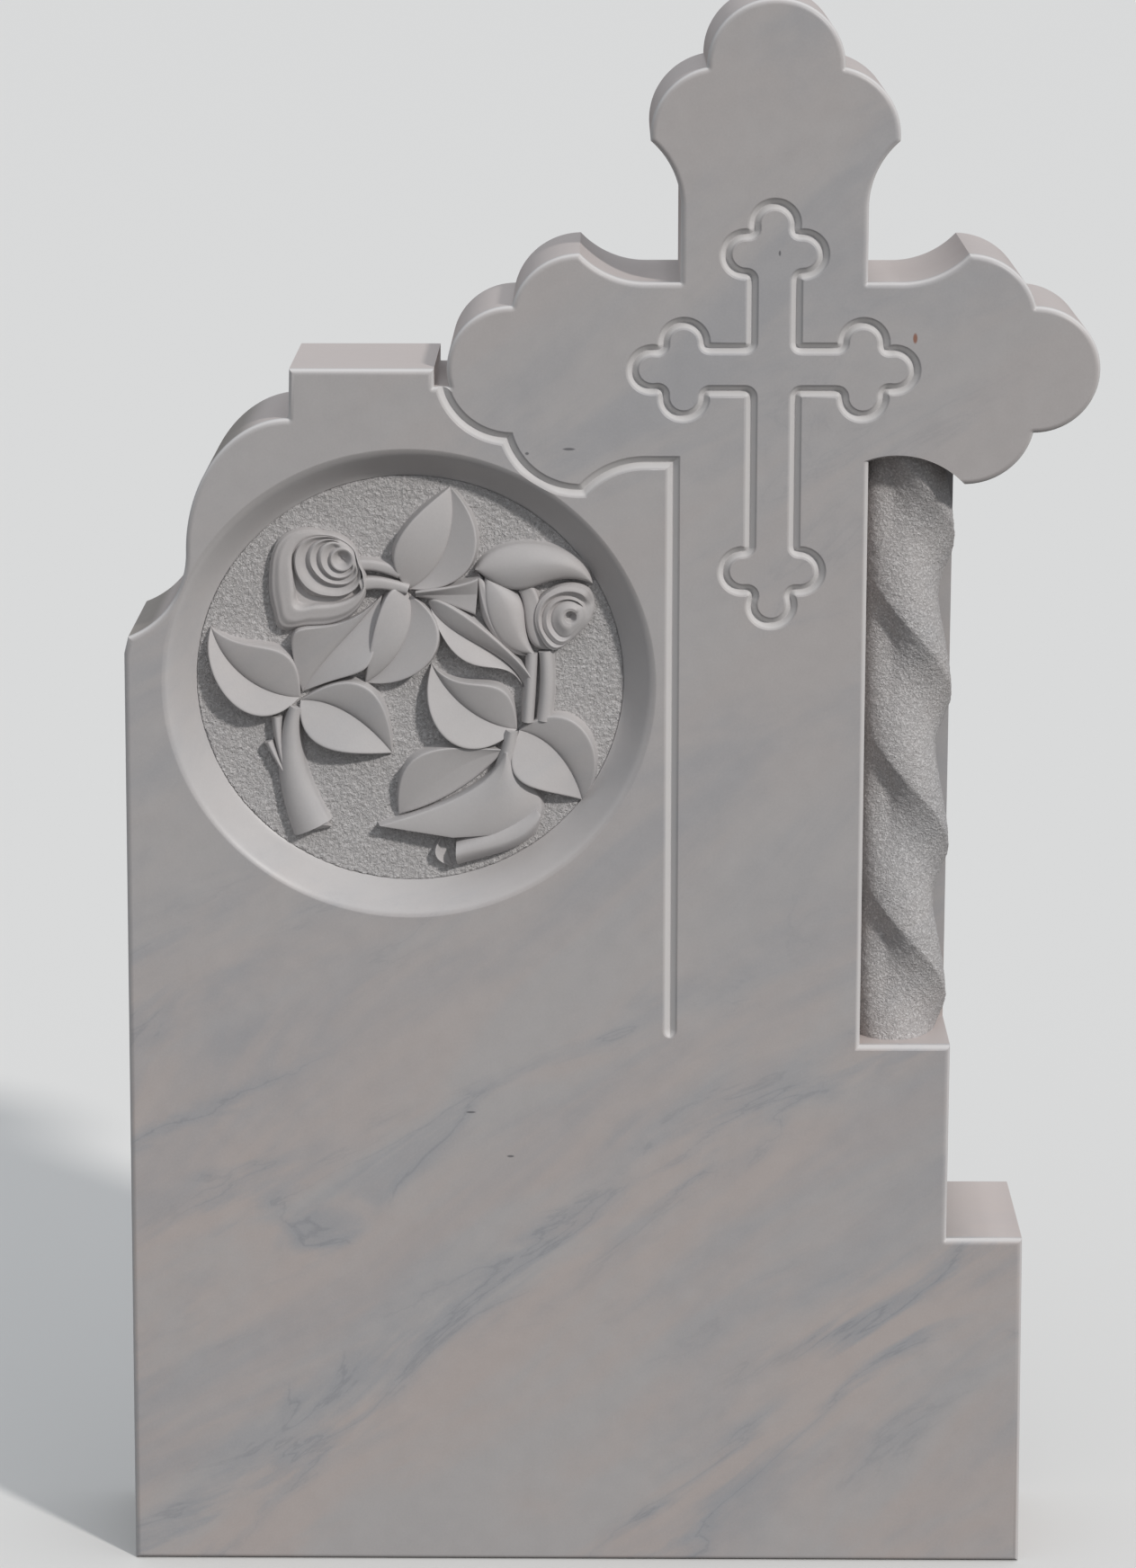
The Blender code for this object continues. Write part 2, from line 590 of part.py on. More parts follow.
def carving():
    """The roses, leaves and stems of the medallion. Places are shares of the ground's radius."""
    return [
        leaf(
            "left_leaf",
            (-0.516, -0.083),
            (-0.929, 0.253),
            (0.41, -0.55, 0.54, -0),
            (0.29, 0.22, 0.71, 0.2),
            (0.04, 0.62, 0.84, 0.43),
        ),
        leaf(
            "lower_leaf",
            (-0.516, -0.096),
            (-0.085, -0.353),
            (0.28, 0.65, 0.66, 0.55),
            (0.29, 0.21, 0.7, 0.14),
            (0.22, -0.48, 0.68, -0.16),
        ),
        leaf(
            "top_leaf",
            (-0.004, 0.433),
            (0.193, 0.919),
            (0.21, 0.46, 0.69, 0.19),
            (0.28, -0.25, 0.71, -0.19),
            (0.2, -0.6, 0.79, -0.55),
        ),
        leaf(
            "flared_leaf",
            (0.032, 0.414),
            (0.323, 0.402),
            (0.3, 0.05, 0.95, 0.55),
            (0.33, 0, 0.67, 0.05),
            (0.3, -0.15, 0.95, -0.5),
        ),
        leaf(
            "long_leaf",
            (0.09, 0.369),
            (0.544, -0.068),
            (-0.15, 0.16, 1.21, 0.27),
            (0.34, -0.12, 0.67, 0.22),
            (0.71, -0.39, 0.58, 0.24),
        ),
        leaf(
            "wide_leaf_left",
            (-0.128, 0.405),
            (-0.506, -0.06),
            (0.71, -0.05, 0.45, -0.76),
            (0.34, 0.02, 0.67, -0.06),
            (0.64, 0.41, 0.41, 0.27),
        ),
        leaf(
            "wide_leaf_right",
            (-0.004, 0.413),
            (-0.209, -0.014),
            (-0.21, -0.41, 0.94, -0.03),
            (0.28, 0.25, 0.71, 0.19),
            (0.05, 0.73, 0.8, 0.56),
        ),
        leaf(
            "middle_leaf",
            (0.503, -0.234),
            (0.101, 0.079),
            (0.47, -0.55, 0.53, 0.09),
            (0.3, 0.19, 0.7, 0.14),
            (0.13, 0.67, 0.81, 0.54),
        ),
        leaf(
            "right_leaf",
            (0.511, -0.239),
            (0.807, -0.578),
            (-0.01, 0.79, 0.88, 0.62),
            (0.29, 0.23, 0.7, 0.17),
            (0.29, -0.65, 0.6, -0.18),
        ),
        leaf(
            "left_rose_side",
            (-0.603, 0.247),
            (-0.378, 0.69),
            (0.23, 0.32, 0.96, 0.7),
            (0.35, 0.05, 0.68, 0.49),
            (0.5, -0.2, 0.37, 0.33),
        ),
        leaf(
            "left_rose_foot",
            (-0.594, 0.238),
            (-0.199, 0.43),
            (0.37, 0.35, 0.22, -0.03),
            (0.36, 0.14, 0.66, -0.3),
            (0.43, -0.12, 0.59, -0.38),
        ),
        leaf(
            "right_rose_top",
            (0.307, 0.533),
            (0.855, 0.466),
            (0.12, 0.37, 0.89, 0.38),
            (0.34, 0, 0.7, 0.29),
            (0.52, -0.35, 0.51, 0.11),
        ),
        leaf(
            "right_rose_sepal",
            (0.572, 0.122),
            (0.323, 0.513),
            (0.17, 0.41, 0.76, 0.21),
            (0.26, 0.28, 0.71, 0.15),
            (0.26, 0.28, 0.68, -0.05),
            rise=0.88,
        ),
        leaf(
            "right_rose_petal",
            (0.583, 0.13),
            (0.354, 0.494),
            (0.24, 0.42, 0.8, 0.19),
            (0.34, 0.15, 0.66, -0.15),
            (0.47, -0.02, 0.47, -0.42),
        ),
        leaf(
            "right_rose_body",
            (0.665, 0.148),
            (0.509, 0.425),
            (0.21, 0.49, 0.68, -0.02),
            (0.21, 0.28, 0.95, -0.29),
            (0.21, 0.07, 1.21, -0.56),
        ),
        leaf(
            "bud_body",
            (0.443, -0.408),
            (0.206, -0.895),
            (0.38, -0.11, 0.75, -0.64),
            (0.3, 0.24, 0.69, 0.09),
            (-0.02, 0.81, 0.76, 0.43),
        ),
        leaf(
            "bud_sepal",
            (0.441, -0.385),
            (-0.064, -0.646),
            (0.58, -0.5, 0.42, -0.48),
            (0.32, -0.18, 0.67, -0.05),
            (0.31, 0.15, 0.69, 0.11),
        ),
        leaf(
            "bud_spike",
            (0.434, -0.448),
            (-0.153, -0.693),
            (0.33, 0.07, 0.67, 0.01),
            (0.31, 0.26, 0.67, 0.06),
            (0.26, 0.49, 0.67, 0.17),
        ),
        leaf(
            "bud_lip",
            (0.597, -0.68),
            (0.196, -0.898),
            (0.29, 0.1, 0.92, -0.53),
            (0.34, 0.15, 0.66, -0.16),
            (-0.04, 0.36, 0.81, 0.04),
        ),
        stem("twin_stem_left", (0.572, 0.134), (0.563, -0.012), (0.551, -0.195), 0.026, 0.026),
        stem("twin_stem_right", (0.635, 0.144), (0.642, -0.013), (0.626, -0.189), 0.028, 0.030),
        stem("rose_stem_upper", (-0.269, 0.549), (-0.168, 0.551), (-0.041, 0.508), 0.022, 0.022),
        stem("rose_stem_lower", (-0.246, 0.462), (-0.137, 0.466), (-0.004, 0.436), 0.026, 0.024),
        stem("main_stem", (-0.537, -0.125), (-0.556, -0.401), (-0.463, -0.709), 0.030, 0.092),
        stem("sprout_upper", (-0.626, -0.173), (-0.610, -0.339), (-0.568, -0.498), 0.026, 0.010, 0.8),
        stem("sprout_lower", (-0.665, -0.291), (-0.626, -0.378), (-0.579, -0.466), 0.022, 0.010, 0.8),
        stem("bud_stem", (0.477, -0.239), (0.454, -0.358), (0.426, -0.482), 0.028, 0.050),
        bloom("left_bloom", (-0.387, 0.550), (-0.309, 0.579), 0.158),
        bloom("right_bloom", (0.716, 0.308), (0.754, 0.316), 0.144),
    ]


def gather(name, helpers):
    """A collection of helpers for one Boolean."""
    made = bpy.data.collections.new(name)
    for helper in helpers:
        made.objects.link(helper)
    return made


def combine(target, name, operation, helpers):
    step = target.modifiers.new(name, "BOOLEAN")
    step.operation = operation
    step.solver = "EXACT"
    step.operand_type = "COLLECTION"
    step.collection = gather(name, helpers)


def marble():
    material = bpy.data.materials.new("marble")
    material.use_nodes = True
    shader = material.node_tree.nodes["Principled BSDF"]
    shader.inputs["Base Color"].default_value = (0.62, 0.59, 0.57, 1)
    shader.inputs["Roughness"].default_value = 0.5
    return material


def main():
    for old in list(bpy.data.objects):
        bpy.data.objects.remove(old)
    bpy.context.scene.unit_settings.system = "METRIC"
    monument = slab()
    cuts = [
        ring_groove("mark_cutter", mark_pieces(), MARK_GROOVE_WIDTH, MARK_GROOVE_DEPTH),
        cross_groove(),
        medallion(),
        bay(),
    ]
    combine(monument, "cuts", "DIFFERENCE", cuts)
    combine(monument, "carving", "UNION", [column(), *carving()])
    monument.data.materials.append(marble())


main()
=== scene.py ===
"""The looks of the marble grave monument: the carved slab, its tooled medallion with roses, the twisted
column, and the marble itself, seen as in the photograph."""

import math

import bmesh
import bpy
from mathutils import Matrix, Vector, noise


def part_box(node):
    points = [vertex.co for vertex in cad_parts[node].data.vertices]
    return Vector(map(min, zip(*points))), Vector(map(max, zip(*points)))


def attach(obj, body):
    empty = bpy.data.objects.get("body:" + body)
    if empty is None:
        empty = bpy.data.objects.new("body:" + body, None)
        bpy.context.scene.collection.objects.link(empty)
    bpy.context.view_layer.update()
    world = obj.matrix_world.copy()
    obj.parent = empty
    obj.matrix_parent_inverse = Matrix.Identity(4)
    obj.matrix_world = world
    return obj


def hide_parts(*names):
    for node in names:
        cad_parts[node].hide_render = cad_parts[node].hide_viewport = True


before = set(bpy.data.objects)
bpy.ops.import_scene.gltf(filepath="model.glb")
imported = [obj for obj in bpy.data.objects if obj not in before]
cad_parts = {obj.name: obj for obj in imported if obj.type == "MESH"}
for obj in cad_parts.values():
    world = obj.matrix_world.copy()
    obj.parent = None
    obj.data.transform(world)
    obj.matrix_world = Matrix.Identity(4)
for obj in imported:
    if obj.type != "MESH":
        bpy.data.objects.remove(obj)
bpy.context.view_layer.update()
NODE = "marble_monument"
LOW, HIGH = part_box(NODE)

# Slab, in metres, measured from the foot's middle
FOOT_WIDTH = 0.6865
FOOT_TOP_WIDTH = 0.681
FOOT_HEIGHT = 0.263
FACE_Y = LOW.y
BACK_Y = HIGH.y
EDGE_ROUND = 0.0045
BACK_ROUND = 0.003
STRIP_X = 0.2825

# Panel to the left of the cross
PANEL_TOP_X = -0.211
PANEL_STEP = 0.0366
PANEL_EDGE_X = -0.3333
PANEL_EDGE_Z = 0.7185
PANEL_LEAN = 0.001
PANEL_CORNER = 0.0032
SHOULDER_WIDTH = 0.0772
SHOULDER_HEIGHT = 0.100
COVE_RADIUS = 0.068
KERF_WIDTH = 0.0095
KERF_DEPTH = 0.013
KERF_OVERLAP = 0.002

# Large cross, whose circles are squashed a little in height
CROSS_X = 0.1435
CROSS_Z = 0.9315
SQUASH = 0.968
ARM_HALF = 0.066
SHAFT_HALF = 0.0682
FLARE_RADIUS = 0.066
SIDE_FLARE_OUT = 0.093
TOP_FLARE_UP = 0.1225
SIDE_LOBE_RADIUS = 0.0515
SIDE_LOBE_OUT = 0.141
SIDE_LOBE_OFF = 0.036
SIDE_END_RADIUS = 0.048
SIDE_END_OUT = 0.191
TOP_LOBE_UP = 0.176
TOP_LOBE_OFF = 0.039
TOP_END_RADIUS = 0.050
TOP_END_UP = 0.2274

# Grooves
GROOVE_WIDTH = 0.010
GROOVE_DEPTH = 0.005
GROOVE_END_Z = 0.424
POINT_STEPS = 8
POINT_WIDTH = 0.02
POINT_LENGTH = 1.25
MARK_GROOVE_WIDTH = 0.009
MARK_GROOVE_DEPTH = 0.0055
MARK_BAR_HALF = 0.0207
MARK_LOBE_RADIUS = 0.0193
MARK_LOBE_OFF = 0.0207
MARK_LOBE_BACK = 0.0228
MARK_FOOT_BACK = 0.0260
MARK_TOP_END = 0.1102
MARK_SIDE_END = 0.0884
MARK_FOOT_END = 0.1805

# Bay with the twisted column
BAY_X = 0.2140
BAY_FLOOR_Z = 0.417
BAY_DEPTH = 0.084
BAY_BEVEL = 0.0036
LOBE_CLEARANCE = 0.0004
COLUMN_X = 0.247
COLUMN_DEPTH = 0.048
COLUMN_RADIUS = 0.0345
COLUMN_LEAD = 0.236
COLUMN_STARTS = 2
COLUMN_RIDGE_Z = 0.560
FLUTE_DEPTH = 0.011
FLUTE_SKEW = 1.6
FLUTE_FADE = 0.55
COLUMN_SUNK = 0.006

# Tool marks of the column: how close across and up, per metre, and how high, in metres
TOOL_MARKS = ((700, 330, 0.0006), (160, 160, 0.0003))

# Pits of the medallion's ground: how close, per metre, a shift of the pattern, and how deep, in metres
GROUND_PITS = ((400, 0, 0.0012), (790, 9, 0.0006), (90, 0, 0.0003))

# Medallion
MEDALLION_X = -0.125
MEDALLION_Z = 0.695
RIM_RADIUS = 0.1835
GROUND_RADIUS = 0.1596
GROUND_DEPTH = 0.025
GROUND_UNDER = 0.0012
GROUND_GAP = 0.0003
RIM_EASE = 0.002
RIM_LIFT = 0.0003
RELIEF_SUNK = 0.0022
WALL_END = 0.0045
GROUND_THICKNESS = 0.004
STEM_RISE = 0.0150
STEM_EDGE = 0.0090

# The middle of the whole width, seen from the foot's middle
MIDDLE_X = (CROSS_X + SIDE_END_OUT + SIDE_END_RADIUS - FOOT_WIDTH / 2) / 2

# How finely the stone is cut into faces
ARC_STEP = 0.0016
JOINT_POINTS = 7
CURVE_STEPS = 40
MERGE = 0.00001
SLIVER = 0.000001
OVERCUT = 0.003
GROOVE_EASE = 0.0009
MEDALLION_SIDES = 256
GROUND_CELLS = 250
SPARE_CELLS = 6
SNAP = 0.75
SPARE = 0.1
COLUMN_ROWS = 330
COLUMN_SIDES = 120
ROSE_SIDES = 150
RELIEF_ROWS = 60

# How a rose's rings fade into its calm side, and how close two of them may come
OUTER_CIRCLE = 4
CALM_FADE = 0.55
OUTER_FADE = 0.7
OUTER_SHIFT = 0.25
CIRCLE_GAP = 0.001

# Camera
CAMERA_X = 0.0050
CAMERA_Y = -3.3922
CAMERA_Z = 1.4052
CAMERA_PITCH = math.radians(13.3)
CAMERA_YAW = math.radians(0.54)
LENS = 104.86
SENSOR_HEIGHT = 36

# Light and floor
LIGHT_TURN = math.radians(47.9)
LIGHT_RISE = math.radians(33.8)
SKY = (0.93, 0.96, 1.0)
SKY_LOW = 0.26
SKY_HIGH = 0.90
KEY = 2.0
KEY_TINT = (1.0, 0.965, 0.93)
KEY_SPREAD = math.radians(4)
FLOOR_SIZE = 90
FLOOR_Y = 20


def eased(share):
    """A share from nought to one that starts and ends level."""
    return share * share * (3 - 2 * share)


def held(share):
    return min(1, max(0, share))


def on_circle(angle):
    return Vector((math.cos(angle), math.sin(angle)))


def line(x0, z0, x1, z1):
    return ("line", Vector((x0, z0)), Vector((x1, z1)))


def limit(x0, z0, x1, z1):
    """A line that ends an open contour and stays where it is when the contour grows."""
    return ("limit", Vector((x0, z0)), Vector((x1, z1)))


def lobe(x, z, radius):
    return ("arc", Vector((x, z)), radius, 1)


def flare(x, z, radius):
    return ("arc", Vector((x, z)), radius, -1)


def grown(piece, grow):
    """The piece moved outwards, away from the stone on its left."""
    if piece[0] == "limit":
        return piece
    if piece[0] == "line":
        run = (piece[2] - piece[1]).normalized()
        out = Vector((run.y, -run.x)) * grow
        return ("line", piece[1] + out, piece[2] + out)
    return ("arc", piece[1], piece[2] + piece[3] * grow, piece[3])


def line_meets_line(first, second):
    run = first[2] - first[1]
    other = second[2] - second[1]
    cross = run.x * other.y - run.y * other.x
    if abs(cross) < 1e-9:
        return second[1].copy()
    gap = second[1] - first[1]
    return first[1] + run * ((gap.x * other.y - gap.y * other.x) / cross)


def line_meets_arc(straight, arc, leaving):
    """Where a line enters a circle or, when it is leaving, where it comes out."""
    run = (straight[2] - straight[1]).normalized()
    foot = straight[1] + run * (arc[1] - straight[1]).dot(run)
    half = arc[2] ** 2 - (arc[1] - foot).length_squared
    if half < 1e-9:
        return foot
    return foot + run * math.sqrt(half) * (1 if leaving else -1)


def arc_meets_arc(first, second):
    """Of two circles' crossings, the one farther from the cross's middle."""
    gap = second[1] - first[1]
    span = gap.length
    along = (span**2 + first[2] ** 2 - second[2] ** 2) / (2 * span)
    half = math.sqrt(max(first[2] ** 2 - along**2, 0))
    side = Vector((-gap.y, gap.x)) * (half / span)
    foot = first[1] + gap * (along / span)
    return max(foot + side, foot - side, key=lambda point: point.length)


def meet(first, second):
    """Where two pieces of a contour join."""
    if first[0] != "arc" and second[0] != "arc":
        return line_meets_line(first, second)
    if first[0] != "arc":
        return line_meets_arc(first, second, leaving=False)
    if second[0] != "arc":
        return line_meets_arc(second, first, leaving=True)
    return arc_meets_arc(first, second)


def heading(piece, point):
    """The direction in which the contour runs along a piece at a point of it."""
    if piece[0] != "arc":
        return (piece[2] - piece[1]).normalized()
    out = (point - piece[1]).normalized() * piece[3]
    return Vector((-out.y, out.x))


def corner(first, second, grow):
    """The contour's points at a joint: all the same one, or an arc round an inner corner."""
    nominal = meet(first, second)
    ways = (heading(first, nominal), heading(second, nominal))
    turn = ways[0].x * ways[1].y - ways[0].y * ways[1].x
    if turn < -0.02 and grow < 0:
        span = math.asin(max(-1, turn))
        if ways[0].dot(ways[1]) < 0:
            span = -math.pi - span
        points = []
        for k in range(JOINT_POINTS):
            angle = math.atan2(ways[0].y, ways[0].x) + span * k / (JOINT_POINTS - 1)
            points.append(nominal + Vector((math.sin(angle), -math.cos(angle))) * grow)
        return points
    return [meet(grown(first, grow), grown(second, grow))] * JOINT_POINTS


def sweep(arc, start, end):
    """The angles at which an arc starts and ends, turning its own way."""
    turn = arc[3]
    first = math.atan2(start.y - arc[1].y, start.x - arc[1].x)
    last = math.atan2(end.y - arc[1].y, end.x - arc[1].x)
    return first, first + turn * ((last - first) * turn % (2 * math.pi))


def trace(pieces, grow, closed=True):
    """Points along a contour grown by grow. Their number doesn't depend on grow."""
    total = len(pieces)
    plain = [corner(pieces[i - 1], pieces[i], 0) for i in range(total)]
    moved = [corner(pieces[i - 1], pieces[i], grow) for i in range(total)]
    inner = range(total) if closed else range(1, total - 1)
    points = []
    for i in inner:
        after = (i + 1) % total
        points.extend(moved[i])
        if pieces[i][0] != "arc":
            continue
        start, end = sweep(pieces[i], plain[i][-1], plain[after][0])
        count = max(2, round(abs(end - start) * pieces[i][2] / ARC_STEP))
        arc = grown(pieces[i], grow)
        start, end = sweep(arc, moved[i][-1], moved[after][0])
        for k in range(1, count):
            angle = start + (end - start) * k / count
            points.append(arc[1] + on_circle(angle) * arc[2])
    if not closed:
        points.extend(moved[-1])
    return points


def at_depth(points, y):
    """The cross's own points in the world, at one depth."""
    return [Vector((CROSS_X + p.x - MIDDLE_X, y, CROSS_Z + p.y * SQUASH)) for p in points]


def about_cross(x, z):
    """A point of the world in the round cross's own plane."""
    return (x - CROSS_X, (z - CROSS_Z) / SQUASH)


def straight_run(points):
    ends = [about_cross(*point) for point in points]
    return [line(*ends[i], *ends[i + 1]) for i in range(len(ends) - 1)]


def mirrored(pieces):
    """The same run on the cross's other side, in the order in which the contour comes to it."""
    over = []
    for piece in reversed(pieces):
        flipped = [Vector((-part.x, part.y)) if isinstance(part, Vector) else part for part in piece]
        over.append(tuple(flipped) if piece[0] == "arc" else (flipped[0], flipped[2], flipped[1]))
    return over


def upper_cross():
    """The cross from the right arm's underside round to the left end lobe, counter-clockwise."""
    half = [
        lobe(SIDE_END_OUT, 0, SIDE_END_RADIUS),
        lobe(SIDE_LOBE_OUT, SIDE_LOBE_OFF, SIDE_LOBE_RADIUS),
        flare(SIDE_FLARE_OUT, ARM_HALF + FLARE_RADIUS, FLARE_RADIUS),
        line(SIDE_FLARE_OUT, ARM_HALF, SHAFT_HALF, ARM_HALF),
        line(SHAFT_HALF, ARM_HALF, SHAFT_HALF, TOP_FLARE_UP),
        flare(SHAFT_HALF + FLARE_RADIUS, TOP_FLARE_UP, FLARE_RADIUS),
        lobe(TOP_LOBE_OFF, TOP_LOBE_UP, SIDE_LOBE_RADIUS),
    ]
    under = lobe(SIDE_LOBE_OUT, -SIDE_LOBE_OFF, SIDE_LOBE_RADIUS)
    return [under, *half, lobe(0, TOP_END_UP, TOP_END_RADIUS), *mirrored(half)]


def panel_side():
    """The panel from its step down to the foot, in the world's X and Z."""
    low_z = CROSS_Z - PANEL_STEP - SHOULDER_HEIGHT
    points = [(PANEL_TOP_X, CROSS_Z)]
    for k in range(CURVE_STEPS + 1):
        angle = math.pi / 2 * k / CURVE_STEPS
        x = PANEL_TOP_X - PANEL_LEAN - SHOULDER_WIDTH * math.sin(angle)
        points.append((x, low_z + SHOULDER_HEIGHT * math.cos(angle)))
    cove_x = points[-1][0] - COVE_RADIUS
    reach = math.acos((PANEL_EDGE_X - cove_x) / COVE_RADIUS)
    for k in range(1, CURVE_STEPS + 1):
        place = on_circle(reach * k / CURVE_STEPS) * COVE_RADIUS
        points.append((cove_x + place.x, low_z - place.y))
    points.append((PANEL_EDGE_X - PANEL_CORNER, PANEL_EDGE_Z))
    points.append((-FOOT_WIDTH / 2, 0))
    return points


def slab_pieces():
    foot = FOOT_WIDTH / 2
    shelf = FOOT_TOP_WIDTH / 2
    kerf_x = CROSS_X - SIDE_END_OUT - SIDE_END_RADIUS
    kerf_floor = CROSS_Z - KERF_DEPTH
    kerf = [
        (kerf_x + KERF_OVERLAP, kerf_floor),
        (kerf_x - KERF_WIDTH, kerf_floor),
        (kerf_x - KERF_WIDTH, CROSS_Z),
        (PANEL_TOP_X, CROSS_Z),
    ]
    base = [(-foot, 0), (foot, 0), (shelf, FOOT_HEIGHT), (STRIP_X, FOOT_HEIGHT), (STRIP_X, CROSS_Z)]
    return upper_cross() + straight_run(kerf) + straight_run(panel_side()) + straight_run(base)


def groove_pieces():
    """The left arm's underside and the shaft's left edge, open at both ends."""
    end = about_cross(CROSS_X, GROOVE_END_Z + GROOVE_WIDTH / 2)[1]
    return [
        limit(-1, -KERF_DEPTH / 2, 0, -KERF_DEPTH / 2),
        lobe(-SIDE_END_OUT, 0, SIDE_END_RADIUS),
        lobe(-SIDE_LOBE_OUT, -SIDE_LOBE_OFF, SIDE_LOBE_RADIUS),
        flare(-SIDE_FLARE_OUT, -ARM_HALF - FLARE_RADIUS, FLARE_RADIUS),
        line(-SIDE_FLARE_OUT, -ARM_HALF, -SHAFT_HALF, -ARM_HALF),
        line(-SHAFT_HALF, -ARM_HALF, -SHAFT_HALF, end),
        limit(-1, end, 1, end),
    ]


def mark_pieces():
    """The small cross's outer edge, counter-clockwise: bars with three lobes on each end."""
    bars = (
        (Vector((1, 0)), MARK_SIDE_END, MARK_LOBE_BACK),
        (Vector((0, 1)), MARK_TOP_END, MARK_LOBE_BACK),
        (Vector((-1, 0)), MARK_SIDE_END, MARK_LOBE_BACK),
        (Vector((0, -1)), MARK_FOOT_END, MARK_FOOT_BACK),
    )
    pieces = []
    for way, end, back in bars:
        left = Vector((-way.y, way.x))
        side = left * MARK_BAR_HALF
        near = way * (end - back)
        pieces.append(line(*(way * MARK_BAR_HALF - side), *(way * end - side)))
        for place in (near - left * MARK_LOBE_OFF, way * end, near + left * MARK_LOBE_OFF):
            pieces.append(lobe(*place, MARK_LOBE_RADIUS))
        pieces.append(line(*(way * end + side), *(way * MARK_BAR_HALF + side)))
    return pieces


def deselect():
    if bpy.context.mode != "OBJECT":
        bpy.ops.object.mode_set(mode="OBJECT")
    bpy.ops.object.select_all(action="DESELECT")


def select_only(piece):
    deselect()
    piece.select_set(True)
    bpy.context.view_layer.objects.active = piece


def apply_modifier(piece, modifier):
    select_only(piece)
    bpy.ops.object.modifier_apply(modifier=modifier.name)


def grid(name, across, along):
    """A new flat grid with nothing else selected. Its points run across first."""
    deselect()
    bpy.ops.mesh.primitive_grid_add(x_subdivisions=across, y_subdivisions=along, size=1)
    bpy.context.object.name = name
    return bpy.context.object


def merge_all():
    """In edit mode, points that coincide are merged, and everything is left selected."""
    bpy.ops.mesh.select_all(action="SELECT")
    bpy.ops.mesh.remove_doubles(threshold=MERGE)
    bpy.ops.mesh.dissolve_degenerate(threshold=SLIVER)
    bpy.ops.mesh.select_all(action="SELECT")


def close_outwards():
    """In edit mode, all faces are turned outwards, and the piece is back in object mode."""
    bpy.ops.mesh.select_all(action="SELECT")
    bpy.ops.mesh.normals_make_consistent(inside=False)
    bpy.ops.object.mode_set(mode="OBJECT")


def walls_down(piece, y):
    """In edit mode, the selected surface gets walls down to one depth."""
    bpy.ops.mesh.extrude_region_move()
    mesh = bmesh.from_edit_mesh(piece.data)
    for vertex in mesh.verts:
        if vertex.select:
            vertex.co.y = y
    bmesh.update_edit_mesh(piece.data)
    close_outwards()


def lofted(name, rings, closed=False):
    """A body from a grid whose rows are set on the rings, with its seam and ends closed."""
    rows = [*rings, rings[0]] if closed else rings
    count = len(rows[0])
    body = grid(name, count, len(rows) - 1)
    for k, vertex in enumerate(body.data.vertices):
        vertex.co = rows[k // (count + 1)][k % (count + 1) % count]
    bpy.ops.object.mode_set(mode="EDIT")
    merge_all()
    bpy.ops.mesh.fill_holes(sides=0)
    close_outwards()
    return body


def cut(target, cutter):
    """The cutter taken out of the target, and the cutter gone."""
    step = target.modifiers.new("cut", "BOOLEAN")
    step.operation = "DIFFERENCE"
    step.solver = "EXACT"
    step.object = cutter
    apply_modifier(target, step)
    bpy.data.objects.remove(cutter)


def finish_stone(piece, material, angle=32, weighted=False):
    """Smooth shading up to an angle, the stone's finish, and the piece's place in the object."""
    select_only(piece)
    bpy.ops.object.transform_apply(location=True, rotation=True, scale=True)
    bpy.ops.object.shade_smooth_by_angle(angle=math.radians(angle))
    if weighted:
        step = piece.modifiers.new("weighted_normals", "WEIGHTED_NORMAL")
        step.keep_sharp = True
        apply_modifier(piece, step)
    piece.data.materials.clear()
    piece.data.materials.append(material)
    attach(piece, "root")
    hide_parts(NODE)
    return piece


def slab():
    """The slab with rounded edges: its contour, grown inwards step by step towards front and back."""
    pieces = slab_pieces()
    rings = []
    for k in range(6):
        angle = math.pi / 2 * k / 5
        grow = -EDGE_ROUND * (1 - math.sin(angle))
        rings.append(at_depth(trace(pieces, grow), FACE_Y + EDGE_ROUND * (1 - math.cos(angle))))
    for k in range(4):
        angle = math.pi / 2 * k / 3
        grow = -BACK_ROUND * (1 - math.cos(angle))
        rings.append(at_depth(trace(pieces, grow), BACK_Y - BACK_ROUND * (1 - math.sin(angle))))
    for ring in rings:
        for place in ring:
            place.z = min(place.z, HIGH.z)
    return lofted("carved_slab", rings)


def groove_profile(width, depth):
    """Steps across a V-groove with eased edges: how far from its near edge, and how deep."""
    half = width / 2
    ease = GROOVE_EASE
    near = [(-2.4 * ease, -OVERCUT), (-1.6 * ease, -0.25 * ease), (-0.4 * ease, 0.12 * ease),
            (0.5 * ease, 0.8 * ease), (half - ease, depth - 0.85 * ease),
            (half - 0.3 * ease, depth - 0.25 * ease)]
    return near + [(width - off, deep) for off, deep in reversed(near)]


def mark_cutter():
    """The V-groove of the small engraved cross."""
    pieces = mark_pieces()
    rings = []
    for off, depth in groove_profile(MARK_GROOVE_WIDTH, MARK_GROOVE_DEPTH):
        rings.append(at_depth(trace(pieces, -off), FACE_Y + depth))
    return lofted("mark_cutter", rings, closed=True)


def cross_groove_cutter():
    """The V-groove that parts the cross from the panel, with a pointed lower end."""
    pieces = groove_pieces()
    runs = []
    for off, depth in groove_profile(GROOVE_WIDTH, GROOVE_DEPTH):
        runs.append(at_depth(trace(pieces, off, closed=False), FACE_Y + depth))
    sections = [list(section) for section in zip(*runs)]
    last = sections[-1]
    middle = (last[0] + last[-1]) / 2
    for k in range(1, POINT_STEPS + 1):
        angle = math.pi / 2 * k / POINT_STEPS
        wide = max(math.cos(angle), POINT_WIDTH)
        drop = GROOVE_WIDTH / 2 * POINT_LENGTH * math.sin(angle)
        section = []
        for point in last:
            deep = point.y - FACE_Y
            y = FACE_Y + (deep * wide if deep > 0 else deep)
            section.append(Vector((middle.x + (point.x - middle.x) * wide, y, point.z - drop)))
        sections.append(section)
    return lofted("cross_groove_cutter", sections)


